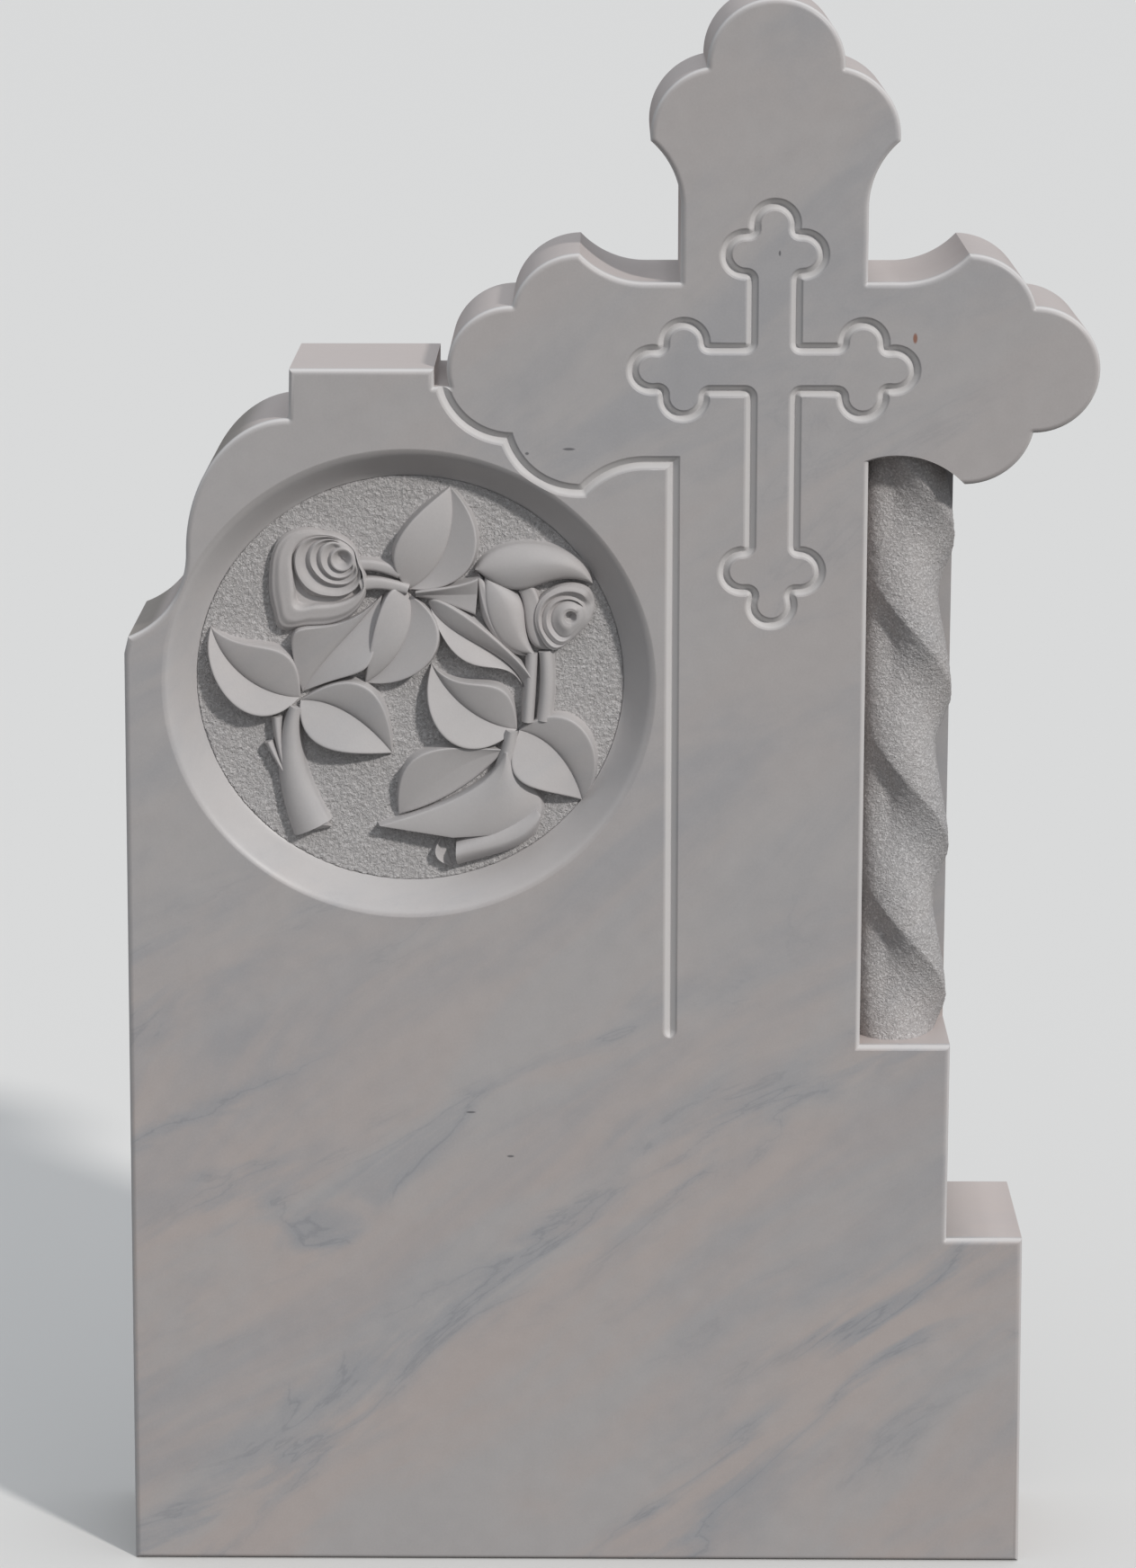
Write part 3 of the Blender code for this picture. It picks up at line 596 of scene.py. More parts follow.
def medallion_ring(radius, y):
    ring = []
    for k in range(MEDALLION_SIDES):
        place = on_circle(2 * math.pi * k / MEDALLION_SIDES) * radius
        ring.append(Vector((MEDALLION_X - MIDDLE_X + place.x, y, MEDALLION_Z + place.y * SQUASH)))
    return ring


# Steps down the medallion's cove: the share of the wall's width, and the depth
COVE_STEPS = (
    (0, 0.0002), (0.08, 0.0010), (0.17, 0.0026), (0.26, 0.0049), (0.40, 0.0093), (0.60, 0.0156),
    (0.80, 0.0213), (0.93, 0.0242), (0.985, 0.0250),
)


def medallion_cutter():
    """The sunk medallion: a soft rim, a cove, and a scribed line round the ground."""
    wall = RIM_RADIUS - GROUND_RADIUS
    steps = [(RIM_RADIUS + 1.5 * RIM_EASE, -OVERCUT), (RIM_RADIUS + RIM_EASE, -RIM_LIFT)]
    steps += [(RIM_RADIUS - share * wall, depth) for share, depth in COVE_STEPS]
    steps.append((GROUND_RADIUS, GROUND_DEPTH + GROUND_UNDER))
    return lofted("medallion_cutter", [medallion_ring(radius, FACE_Y + depth) for radius, depth in steps])


def bay_cutter():
    """The recess beside the shaft: its ceiling is the right arm's flared underside."""
    floor = about_cross(BAY_X, BAY_FLOOR_Z)
    centre_z = -(ARM_HALF + FLARE_RADIUS)
    end_lobe = lobe(SIDE_LOBE_OUT, -SIDE_LOBE_OFF, SIDE_LOBE_RADIUS)
    join = meet(end_lobe, flare(SIDE_FLARE_OUT, centre_z, FLARE_RADIUS))
    outside = SIDE_LOBE_OUT + SIDE_LOBE_RADIUS
    below = -SIDE_LOBE_OFF - SIDE_LOBE_RADIUS - LOBE_CLEARANCE
    rings = []
    for depth in (-OVERCUT, BAY_BEVEL, BAY_DEPTH):
        grow = max(0, BAY_BEVEL - depth)
        left, low = floor[0] - grow, floor[1] - grow
        outline = [Vector((left, low)), Vector((outside, low)), Vector((outside, below))]
        for k in range(CURVE_STEPS + 1):
            share = k / CURVE_STEPS
            x = join.x + (left - join.x) * share
            rise = math.sqrt(FLARE_RADIUS**2 - (x - SIDE_FLARE_OUT) ** 2)
            outline.append(Vector((x, centre_z + rise + grow / 2 * share)))
        rings.append(at_depth(outline, FACE_Y + depth))
    return lofted("bay_cutter", rings)


def column():
    """The twisted column: one section with hollow flutes, turned as it climbs, finely tooled.

    Its flutes run out where it grows from the shaft's side.
    """
    axis_x = COLUMN_X - MIDDLE_X
    axis_y = FACE_Y + COLUMN_DEPTH
    low = BAY_FLOOR_Z - COLUMN_SUNK
    high = CROSS_Z - ARM_HALF * SQUASH + COLUMN_SUNK
    rings = []
    for row in range(COLUMN_ROWS + 1):
        z = low + (high - low) * row / COLUMN_ROWS
        turn = 2 * math.pi * (z - COLUMN_RIDGE_Z) / COLUMN_LEAD
        ring = []
        for k in range(COLUMN_SIDES):
            phase = 2 * math.pi * k / COLUMN_SIDES
            share = -phase * COLUMN_STARTS / (2 * math.pi) % 1
            out = Vector((math.cos(phase + turn), -math.sin(phase + turn), 0))
            flute = FLUTE_DEPTH * eased(held((out.x + 1) / FLUTE_FADE))
            radius = COLUMN_RADIUS - flute * math.sin(math.pi * share**FLUTE_SKEW)
            place = Vector((axis_x + radius * out.x, axis_y + radius * out.y, z))
            for across, up, height in TOOL_MARKS:
                spot = Vector((place.x * across, place.y * across, place.z * up))
                radius += noise.noise(spot) * height
            ring.append(Vector((axis_x + radius * out.x, axis_y + radius * out.y, z)))
        rings.append(ring)
    return lofted("twisted_column", rings)


def tooled_ground():
    """The medallion's ground: a fine round grid, pitted by the bush hammer, with a straight edge."""
    ground = grid("tooled_ground", GROUND_CELLS, GROUND_CELLS)
    reach = GROUND_RADIUS - GROUND_GAP
    cell = 2 * reach / (GROUND_CELLS - SPARE_CELLS)
    ground_y = FACE_Y + GROUND_DEPTH
    middle = Vector((MEDALLION_X - MIDDLE_X, MEDALLION_Z))
    for vertex in ground.data.vertices:
        flat = Vector((vertex.co.x, vertex.co.y)) * GROUND_CELLS * cell
        if reach < flat.length < reach + cell * SNAP:
            flat = flat * (reach / flat.length)
        place = Vector((flat.x, 0, flat.y))
        pits = 0
        for scale, shift, height in GROUND_PITS:
            pits += noise.noise(place * scale + Vector((shift, 0, 0))) * height
        vertex.co = Vector((middle.x + place.x, ground_y + pits, middle.y + place.z * SQUASH))
    bpy.ops.object.mode_set(mode="EDIT")
    mesh = bmesh.from_edit_mesh(ground.data)
    bpy.ops.mesh.select_all(action="DESELECT")
    bpy.ops.mesh.select_mode(type="VERT")
    for vertex in mesh.verts:
        off = Vector((vertex.co.x - middle.x, (vertex.co.z - middle.y) / SQUASH))
        vertex.select = off.length > reach + cell * SPARE
    mesh.select_flush(True)
    bpy.ops.mesh.delete(type="VERT")
    bpy.ops.mesh.select_all(action="SELECT")
    walls_down(ground, ground_y + GROUND_THICKNESS)
    return ground


def curve_between(start, end, handles):
    """A cubic curve from start to end. Its handles are given along and across the line between the two."""
    chord = end - start
    across = Vector((-chord.y, chord.x))
    first = start + chord * handles[0] + across * handles[1]
    second = start + chord * handles[2] + across * handles[3]

    def point(t):
        back = 1 - t
        return start * back**3 + first * 3 * back**2 * t + second * 3 * back * t**2 + end * t**3

    return point


def on_ground(place, rise):
    """A point of the relief: its place in shares of the ground's radius, its rise in metres."""
    x = MEDALLION_X - MIDDLE_X + GROUND_RADIUS * place.x
    return Vector((x, FACE_Y + GROUND_DEPTH + RELIEF_SUNK - rise, MEDALLION_Z + GROUND_RADIUS * place.y))


def walled(piece):
    """The open surface given walls down into the ground."""
    select_only(piece)
    bpy.ops.object.mode_set(mode="EDIT")
    merge_all()
    walls_down(piece, FACE_Y + GROUND_DEPTH + WALL_END)
    return piece


# Across a relief body from its middle: shares of the half width, then its wall (outwards, rise left)
ACROSS = (
    0, 0.02, 0.05, 0.1, 0.17, 0.25, 0.34, 0.43, 0.52, 0.61, 0.7, 0.78, 0.85, 0.905, 0.945, 0.97, 0.988, 1,
)
SKIRT = ((0.0006, 0.6), (0.0016, 0.22), (0.0032, 0.0))
SKIRT_FULL = 0.006
SKIRT_LEAST = 0.0002
LEAF_RIM = 0.0016
LEAF_HEIGHTS = (0.0174, 0.0088, 0.0182)
STEM_RIM = 0.002
PETAL_RIM = 0.003


def relief(name, curves, heights, bows, ends, soft, pointed):
    """A carved body: a grid between three curves, raised by three heights, with soft rims and splayed walls.

    A pointed one starts and ends in a point, where its three heights are one.
    """
    steps = [(share, 0, 1) for share in ACROSS] + [(1, out, left) for out, left in SKIRT]
    steps = [(0, *step) for step in reversed(steps)] + [(1, *step) for step in steps[1:]]
    piece = grid(name, len(steps) - 1, RELIEF_ROWS)
    for k, vertex in enumerate(piece.data.vertices):
        t = (1 - math.cos(math.pi * (k // len(steps)) / RELIEF_ROWS)) / 2
        side, away, out, left = steps[k % len(steps)]
        middle, edge = curves[1](t), curves[2 * side](t)
        arch = abs(math.sin(math.pi * t))
        swell = ends[0] + (ends[1] - ends[0]) * t
        swell += (1 - swell) * arch**0.6
        fold = arch**0.5 if pointed else 1
        half = (edge - middle).length * GROUND_RADIUS
        rise = (heights[1] + (heights[2 * side] - heights[1]) * fold * away ** bows[side]) * swell
        rim = min(soft, half)
        over = (away - 1) * half / rim + 1 if rim > 0 else 0
        if over > 0:
            rise -= rim * (1 - math.sqrt(max(0, 1 - over**2)))
        place = middle.lerp(edge, away)
        if out and half > SKIRT_LEAST:
            place += (edge - middle).normalized() * out * min(1, half / SKIRT_FULL) / GROUND_RADIUS
        vertex.co = on_ground(place, rise * left)
    return walled(piece)


def from_one_root(root, tip, *handles):
    """Curves that share their start and end."""
    return [curve_between(Vector(root), Vector(tip), pair) for pair in handles]


def leaf(name, root, tip, left, rib, right, heights=LEAF_HEIGHTS, bows=(0.55, 1.0), ends=(0.6, 0.48)):
    """A leaf folded along its rib: its left half falls steeply to the rib, its right one is nearly flat."""
    return relief(name, from_one_root(root, tip, left, rib, right), heights, bows, ends, LEAF_RIM, True)


def petal(name, root, tip, left, rib, right, heights):
    """A petal with a rounded back: it is highest along its middle."""
    curves = from_one_root(root, tip, left, rib, right)
    return relief(name, curves, heights, (2, 2), (0.6, 0.5), PETAL_RIM, True)


def spread(name, left, middle, right, heights, bows=(1.0, 1.0), ends=(1, 1)):
    """A body that widens to a broad end: each of its three curves has a start and an end of its own."""
    curves = [curve_between(Vector(start), Vector(end), pair) for start, end, pair in (left, middle, right)]
    return relief(name, curves, heights, bows, ends, STEM_RIM, False)


def stem(name, start, middle, end, half_start, half_end, rise=1.0, edge=STEM_EDGE):
    """A round-backed stem through three points."""
    first, mid, last = Vector(start), Vector(middle), Vector(end)
    bend = mid * 2 - (first + last) / 2

    def centre(t):
        return first * (1 - t) ** 2 + bend * 2 * t * (1 - t) + last * t**2

    def side(sign):
        def point(t):
            run = (centre(t + 0.01) - centre(t - 0.01)).normalized()
            half = half_start + (half_end - half_start) * t
            return centre(t) + Vector((-run.y, run.x)) * half * sign

        return point

    heights = (edge * rise, STEM_RISE * rise, edge * rise)
    return relief(name, (side(1), centre, side(-1)), heights, (2.2, 2.2), (1, 1), STEM_RIM, False)


def round_curve(knots):
    """The distance from a rose's eye at any angle, smooth through knots of (degrees, distance)."""
    total = len(knots)

    def distance(angle):
        angle %= 360
        at = sum(1 for knot in knots if knot[0] <= angle) - 1
        picked = [knots[(at + step) % total] for step in (-1, 0, 1, 2)]
        span = (picked[2][0] - picked[1][0]) % 360
        t = (angle - picked[1][0]) % 360 / span
        slopes = []
        for here in (1, 2):
            reach = (picked[here + 1][0] - picked[here - 1][0]) % 360
            slopes.append((picked[here + 1][1] - picked[here - 1][1]) * span / reach)
        low, high = picked[1][1], picked[2][1]
        pull = slopes[0] * (t**3 - 2 * t**2 + t) + slopes[1] * (t**3 - t**2)
        return low * (2 * t**3 - 3 * t**2 + 1) + high * (3 * t**2 - 2 * t**3) + pull

    return distance


def rose(name, eye, circles, profile, calm, outer_calm=None):
    """A rose seen from above: rings of petals round its eye, which fade into a smooth back on its calm side.

    The profile's steps are (circle, share of the way to it, rise in metres, rise on the calm side).
    The calm side is a direction in degrees, and the outermost circles may have one of their own.
    """
    smooth = [round_curve(knots) for knots in circles]
    eye = Vector(eye)
    piece = grid(name, ROSE_SIDES, len(profile) - 1)
    for k, vertex in enumerate(piece.data.vertices):
        angle = 360 * (k % (ROSE_SIDES + 1) % ROSE_SIDES) / ROSE_SIDES
        circle, share, rise, smooth_rise = profile[k // (ROSE_SIDES + 1)]
        still = held(math.cos(math.radians(angle - calm)) / CALM_FADE)
        if outer_calm is not None and circle >= OUTER_CIRCLE:
            still = held(OUTER_SHIFT + math.cos(math.radians(angle - outer_calm)) / OUTER_FADE)
        rise += (smooth_rise - rise) * eased(still)
        inner = smooth[circle - 1](angle) if circle > 0 else 0
        outer = max(smooth[circle](angle), inner + CIRCLE_GAP)
        away = inner + (outer - inner) * share
        vertex.co = on_ground(eye + on_circle(math.radians(angle)) * away, rise)
    return walled(piece)


def rings_of(steps):
    """A rose's profile in finer steps, eased between the ones that are given.

    Each is (circle, share of the way to it, rise, number of finer steps to the next, rise on the calm side).
    """
    fine = []
    for step, following in zip(steps, steps[1:]):
        circle, share, rise, count, calm_rise = step
        next_circle, end, top, _, calm_top = following
        begin = share if circle == next_circle else 0
        for k in range(count):
            t = k / count
            ease = eased(t)
            place = begin + (end - begin) * t
            calm_at = calm_rise + (calm_top - calm_rise) * ease
            fine.append((next_circle, place, rise + (top - rise) * ease, calm_at))
    fine.append((*steps[-1][:3], steps[-1][4]))
    return fine


def left_rose():
    eye = (-0.308, 0.585)
    hollow = ((0, 0.050), (90, 0.050), (180, 0.054), (270, 0.056))
    ring_three = (
        (38, 0.054), (96, 0.072), (129, 0.099), (156, 0.109), (186, 0.106), (214, 0.103),
        (242, 0.1), (270, 0.092), (305, 0.078), (344, 0.058),
    )
    ring_two = (
        (40, 0.059), (96, 0.077), (131, 0.119), (152, 0.145), (170, 0.155), (190, 0.155),
        (209, 0.146), (232, 0.137), (256, 0.127), (282, 0.12), (307, 0.104), (341, 0.068),
    )
    ring_one = (
        (35, 0.063), (90, 0.081), (127, 0.13), (158, 0.201), (174, 0.222), (190, 0.228), (205, 0.228),
        (220, 0.222), (234, 0.21), (251, 0.192), (270, 0.178), (297, 0.15), (317, 0.116), (339, 0.072),
    )
    fold = (
        (36, 0.066), (90, 0.084), (127, 0.136), (157, 0.21), (172, 0.232), (188, 0.24), (200, 0.248),
        (213, 0.272), (226, 0.312), (242, 0.25), (266, 0.21), (306, 0.165), (317, 0.128), (343, 0.075),
    )
    outline = (
        (37, 0.075), (84, 0.095), (122, 0.145), (133, 0.184), (149, 0.254), (162, 0.303), (177, 0.33),
        (193, 0.354), (218, 0.416), (229, 0.451), (241, 0.379), (259, 0.328), (276, 0.285),
        (297, 0.219), (318, 0.15), (350, 0.085),
    )
    steps = (
        (0, 0.0, 0.0085, 4, 0.0100),
        (0, 0.35, 0.0092, 4, 0.0104),
        (0, 0.9, 0.0150, 3, 0.0150),
        (0, 1.0, 0.0149, 3, 0.0151),
        (1, 0.22, 0.0118, 4, 0.0148),
        (1, 0.85, 0.0145, 3, 0.0142),
        (1, 1.0, 0.0138, 3, 0.0140),
        (2, 0.24, 0.0110, 4, 0.0137),
        (2, 0.86, 0.0138, 3, 0.0131),
        (2, 1.0, 0.0130, 3, 0.0129),
        (3, 0.20, 0.0098, 5, 0.0126),
        (3, 0.90, 0.0128, 3, 0.0118),
        (3, 1.0, 0.0116, 3, 0.0116),
        (4, 0.25, 0.0060, 4, 0.0116),
        (4, 0.80, 0.0064, 4, 0.0118),
        (4, 1.0, 0.0128, 4, 0.0121),
        (5, 0.12, 0.0142, 5, 0.0123),
        (5, 0.50, 0.0138, 6, 0.0118),
        (5, 0.82, 0.0112, 4, 0.0098),
        (5, 1.0, 0.0068, 1, 0.0068),
    )
    circles = (hollow, ring_three, ring_two, ring_one, fold, outline)
    return rose("left_rose", eye, circles, rings_of(steps), calm=35, outer_calm=95)


def right_rose():
    eye = (0.754, 0.312)
    hollow = ((0, 0.028), (120, 0.030), (240, 0.032))
    ring_three = (
        (25, 0.066), (59, 0.070), (90, 0.074), (122, 0.076), (172, 0.082), (218, 0.092),
        (252, 0.097), (286, 0.066), (333, 0.055),
    )
    ring_two = (
        (30, 0.075), (59, 0.081), (88, 0.087), (118, 0.099), (151, 0.117), (188, 0.131),
        (223, 0.138), (250, 0.139), (273, 0.105), (308, 0.074), (356, 0.072),
    )
    outline = (
        (33, 0.13), (60, 0.155), (80, 0.158), (103, 0.157), (127, 0.16), (148, 0.168), (180, 0.171),
        (213, 0.174), (241, 0.182), (263, 0.13), (300, 0.090), (357, 0.098),
    )
    steps = (
        (0, 0.0, 0.0070, 4, 0.0080),
        (0, 0.6, 0.0090, 4, 0.0092),
        (0, 1.0, 0.0150, 3, 0.0135),
        (1, 0.30, 0.0155, 3, 0.0138),
        (1, 1.0, 0.0118, 4, 0.0126),
        (2, 0.20, 0.0106, 4, 0.0120),
        (2, 0.65, 0.0136, 4, 0.0112),
        (2, 1.0, 0.0122, 4, 0.0104),
        (3, 0.15, 0.0108, 4, 0.0098),
        (3, 0.50, 0.0150, 5, 0.0090),
        (3, 0.90, 0.0135, 4, 0.0078),
        (3, 1.0, 0.0100, 1, 0.0065),
    )
    return rose("right_rose", eye, (hollow, ring_three, ring_two, outline), rings_of(steps), calm=-28)


def carving():
    """The roses, leaves and stems of the medallion. Places are shares of the ground's radius."""
    return [
        leaf("left_leaf", (-0.516, -0.083), (-0.929, 0.253),
             (0.41, -0.55, 0.54, 0), (0.29, 0.22, 0.71, 0.2), (0.04, 0.62, 0.84, 0.43)),
        leaf("lower_leaf", (-0.516, -0.096), (-0.085, -0.353),
             (0.28, 0.65, 0.66, 0.55), (0.29, 0.21, 0.7, 0.14), (0.22, -0.48, 0.68, -0.16)),
        leaf("top_leaf", (-0.004, 0.433), (0.193, 0.919),
             (0.21, 0.46, 0.69, 0.19), (0.28, -0.25, 0.71, -0.19), (0.2, -0.6, 0.79, -0.55)),
        spread("flared_leaf", ((0.030, 0.426), (0.323, 0.497), (0.3, 0.0, 0.7, -0.07)),
               ((0.030, 0.412), (0.318, 0.415), (0.33, 0, 0.67, 0)),
               ((0.030, 0.398), (0.308, 0.315), (0.3, 0.09, 0.75, 0.02)),
               (0.0168, 0.0118, 0.0105), ends=(0.9, 0.95)),
        leaf("long_leaf", (0.09, 0.369), (0.544, -0.068),
             (-0.15, 0.16, 1.21, 0.27), (0.34, -0.12, 0.67, 0.22), (0.71, -0.39, 0.58, 0.24)),
        leaf("wide_leaf_left", (-0.128, 0.405), (-0.506, -0.06),
             (0.71, -0.05, 0.45, -0.76), (0.34, 0.02, 0.67, -0.06), (0.64, 0.41, 0.41, 0.27)),
        leaf("wide_leaf_right", (-0.004, 0.413), (-0.209, -0.014),
             (-0.21, -0.41, 0.94, -0.03), (0.28, 0.25, 0.71, 0.19), (0.05, 0.73, 0.8, 0.56)),
        leaf("middle_leaf", (0.503, -0.234), (0.101, 0.079),
             (0.47, -0.55, 0.53, 0.09), (0.3, 0.19, 0.7, 0.14), (0.13, 0.67, 0.81, 0.54)),
        leaf("right_leaf", (0.511, -0.239), (0.807, -0.578),
             (-0.01, 0.79, 0.88, 0.62), (0.29, 0.23, 0.7, 0.17), (0.29, -0.65, 0.6, -0.18)),
        petal("right_rose_top", (0.307, 0.533), (0.855, 0.466),
              (0.12, 0.37, 0.89, 0.38), (0.34, 0, 0.7, 0.29), (0.52, -0.35, 0.51, 0.11),
              (0.010, 0.018, 0.012)),
        petal("right_rose_sepal", (0.572, 0.122), (0.323, 0.513),
              (0.17, 0.41, 0.76, 0.21), (0.26, 0.28, 0.71, 0.15), (0.26, 0.28, 0.68, -0.05),
              (0.008, 0.014, 0.016)),
        petal("right_rose_petal", (0.583, 0.13), (0.354, 0.494),
              (0.24, 0.42, 0.8, 0.19), (0.34, 0.15, 0.66, -0.15), (0.47, -0.02, 0.47, -0.42),
              (0.014, 0.0175, 0.012)),
        petal("right_rose_body", (0.665, 0.148), (0.509, 0.425),
              (0.21, 0.49, 0.68, -0.02), (0.21, 0.28, 0.95, -0.29), (0.21, 0.07, 1.21, -0.56),
              (0.010, 0.012, 0.012)),
        leaf("bud_sepal", (0.447, -0.330), (-0.060, -0.650),
             (0.44, -0.36, 0.72, -0.52), (0.33, -0.12, 0.67, -0.09), (0.33, 0.10, 0.67, 0.10),
             (0.0165, 0.0105, 0.0080), bows=(1.0, 1.0), ends=(0.9, 0.4)),
        spread("bud_body", ((0.436, -0.335), (-0.149, -0.693), (0.18, 0.19, 0.6, 0.10)),
               ((0.452, -0.335), (0.200, -0.745), (0.3, 0.18, 0.75, 0.06)),
               ((0.468, -0.335), (0.545, -0.725), (0.28, -0.05, 0.72, 0.58)),
               (0.0150, 0.0182, 0.0100), bows=(1.3, 2.4), ends=(0.9, 0.9)),
        spread("bud_lip", ((0.585, -0.600), (0.214, -0.766), (0.35, 0.06, 0.7, -0.03)),
               ((0.612, -0.640), (0.212, -0.826), (0.3, 0.20, 0.7, 0.04)),
               ((0.612, -0.660), (0.218, -0.890), (0.2, 0.28, 0.7, 0.06)),
               (0.0100, 0.0178, 0.0080), bows=(2, 2), ends=(0.85, 1)),
        leaf("bud_mouth", (0.150, -0.752), (0.196, -0.902),
             (0.3, 0.0, 0.7, 0.0), (0.3, -0.25, 0.7, -0.25), (0.3, -0.55, 0.7, -0.45),
             (0.0030, 0.0045, 0.0110), bows=(1.0, 1.0), ends=(0.8, 0.6)),
        stem("twin_stem_left", (0.572, 0.134), (0.563, -0.012), (0.551, -0.195), 0.028, 0.028, 0.9, 0.0105),
        stem("twin_stem_right", (0.635, 0.144), (0.642, -0.013), (0.626, -0.189), 0.032, 0.034, 0.9, 0.0105),
        stem("rose_stem_upper", (-0.238, 0.549), (-0.150, 0.547), (-0.041, 0.512), 0.026, 0.026, 0.8, 0.0138),
        stem("rose_stem_lower", (-0.228, 0.458), (-0.130, 0.464), (-0.004, 0.436), 0.032, 0.024,
             0.85, 0.0138),
        stem("main_stem", (-0.537, -0.125), (-0.556, -0.401), (-0.463, -0.709), 0.030, 0.092),
        leaf("stem_cut", (-0.560, -0.704), (-0.372, -0.706),
             (0.25, 0.16, 0.75, 0.16), (0.33, 0, 0.67, 0), (0.25, -0.18, 0.75, -0.18),
             (0.0150, 0.0085, 0.0012), bows=(1.0, 1.0), ends=(0.6, 0.6)),
        stem("sprout_upper", (-0.626, -0.173), (-0.610, -0.339), (-0.568, -0.498), 0.026, 0.010, 0.8),
        stem("sprout_lower", (-0.665, -0.291), (-0.626, -0.378), (-0.579, -0.466), 0.022, 0.010, 0.8),
        stem("bud_stem", (0.477, -0.239), (0.454, -0.358), (0.426, -0.482), 0.028, 0.050),
        left_rose(),
        right_rose(),
    ]


BASE = (0.398, 0.385, 0.386)
PINK = (0.425, 0.378, 0.362)
GREY = (0.305, 0.314, 0.338)
STREAK = (0.205, 0.215, 0.24)
CRYSTAL = (0.92, 0.90, 0.89)
FRESH = (0.62, 0.61, 0.61)
SAWN = (0.55, 0.49, 0.47)
# Painted shade: the darker tone laid on the slab's left sides, where the key light doesn't reach
PAINTED_SHADE = (0.27, 0.245, 0.22)
# Edge colour: lighter cut stone with a painted highlight laid over it
EDGE_HIGHLIGHT = (0.70, 0.69, 0.685)
CHIP = (0.95, 0.94, 0.94)
PIT = (0.25, 0.24, 0.24)
RUST = (0.26, 0.075, 0.02)
SOOT = (0.10, 0.10, 0.11)
FLOOR_SEEN = (0.70, 0.70, 0.69)
FLOOR_BOUNCE = (0.12, 0.115, 0.11)
STREAK_TURN = (0, math.radians(33), 0)
STREAK_DRAWN = (1.0, 2.2, 3.6)
STREAK_HEIGHTS = (0.62, 0.25)
STREAK_WIDTHS = ((0.10, 0.95, GREY), (0.012, 0.5, STREAK))

# Small stains on the face: X, Z, half width, half height, colour
SPECKS = (
    (0.2270, 0.9550, 0.0018, 0.0042, RUST),
    (0.1276, 1.0170, 0.0010, 0.0022, SOOT),
    (-0.0256, 0.8730, 0.0050, 0.0011, SOOT),
    (-0.0564, 0.8697, 0.0016, 0.0012, SOOT),
    (-0.1000, 0.3640, 0.0040, 0.0009, SOOT),
    (-0.0700, 0.3290, 0.0030, 0.0010, SOOT),
)

# Where a finish begins and where it is whole: depths behind the face, then places across and up
PAST_MEDALLION = (0.034, 0.040)
SAWN_DEPTHS = (0.005, 0.010)
BAY_DEPTHS = (0.095, 0.088)
SHADED_SIDE_DEPTHS = (0.002, 0.006)
CUT_DEPTHS = (0.0002, 0.0022)
COVE_DEPTHS = (0.032, 0.026)
ARRIS_DEPTHS = (0.0065, 0.0045)
FACE_DEPTHS = (0.001, 0.0005)
RIM_FADE = (RIM_RADIUS, RIM_RADIUS + 0.004)
ROUND_MEDALLION = (0.19, 0.20)
BAY_ACROSS = (0.19, 0.20)
BAY_TOP = (0.87, 0.84)
BAY_FOOT = (0.42, 0.43)
LEFT_SIDE = (-0.19, -0.22)
UNDER_STEP = (0.893, 0.880)
BEFORE_BACK = (BACK_Y - 0.0005, BACK_Y - 0.004)
SAWN_SHARE = 0.8
PAINTED_SHADE_SHARE = 0.9
STAIN_SHARE = 0.75
EDGE_HIGHLIGHT_SHARE = 0.65


def plug(tree, made, sockets):
    """Each named socket of a node gets a value, a colour or a link."""
    for name, value in sockets.items():
        socket = made.inputs[name]
        if isinstance(value, bpy.types.NodeSocket):
            tree.links.new(value, socket)
        else:
            socket.default_value = (*value, 1) if socket.type == "RGBA" else value


def node(tree, kind, sockets, **settings):
    """The outputs of a new node that has its settings, and its sockets plugged."""
    made = tree.nodes.new("ShaderNode" + kind)
    for name, value in settings.items():
        setattr(made, name, value)
    plug(tree, made, sockets)
    return made.outputs


def arithmetic(tree, operation, first, second=0.5):
    return node(tree, "Math", {0: first, 1: second}, operation=operation)[0]


def times(tree, *values):
    product = values[0]
    for value in values[1:]:
        product = arithmetic(tree, "MULTIPLY", product, value)
    return product


def between(tree, value, low, high):
    """A value's share of the way from low to high, eased."""
    sockets = {"Value": value, "From Min": low, "From Max": high}
    return node(tree, "MapRange", sockets, interpolation_type="SMOOTHSTEP")["Result"]


def tint(tree, share, first, second):
    """First colour where the share is nought, second where it is one."""
    return node(tree, "Mix", {0: share, 6: first, 7: second}, data_type="RGBA")[2]


def cloudy(tree, vector, scale, detail, roughness, distortion=0.0):
    sockets = {"Scale": scale, "Detail": detail, "Roughness": roughness, "Distortion": distortion}
    return node(tree, "TexNoise", {"Vector": vector, **sockets})["Fac"]


def coordinates(tree, kind="Object"):
    return node(tree, "TexCoord", {})[kind]


def split(tree, vector):
    """A vector's X, Y and Z, each on its own."""
    return node(tree, "SeparateXYZ", {0: vector})


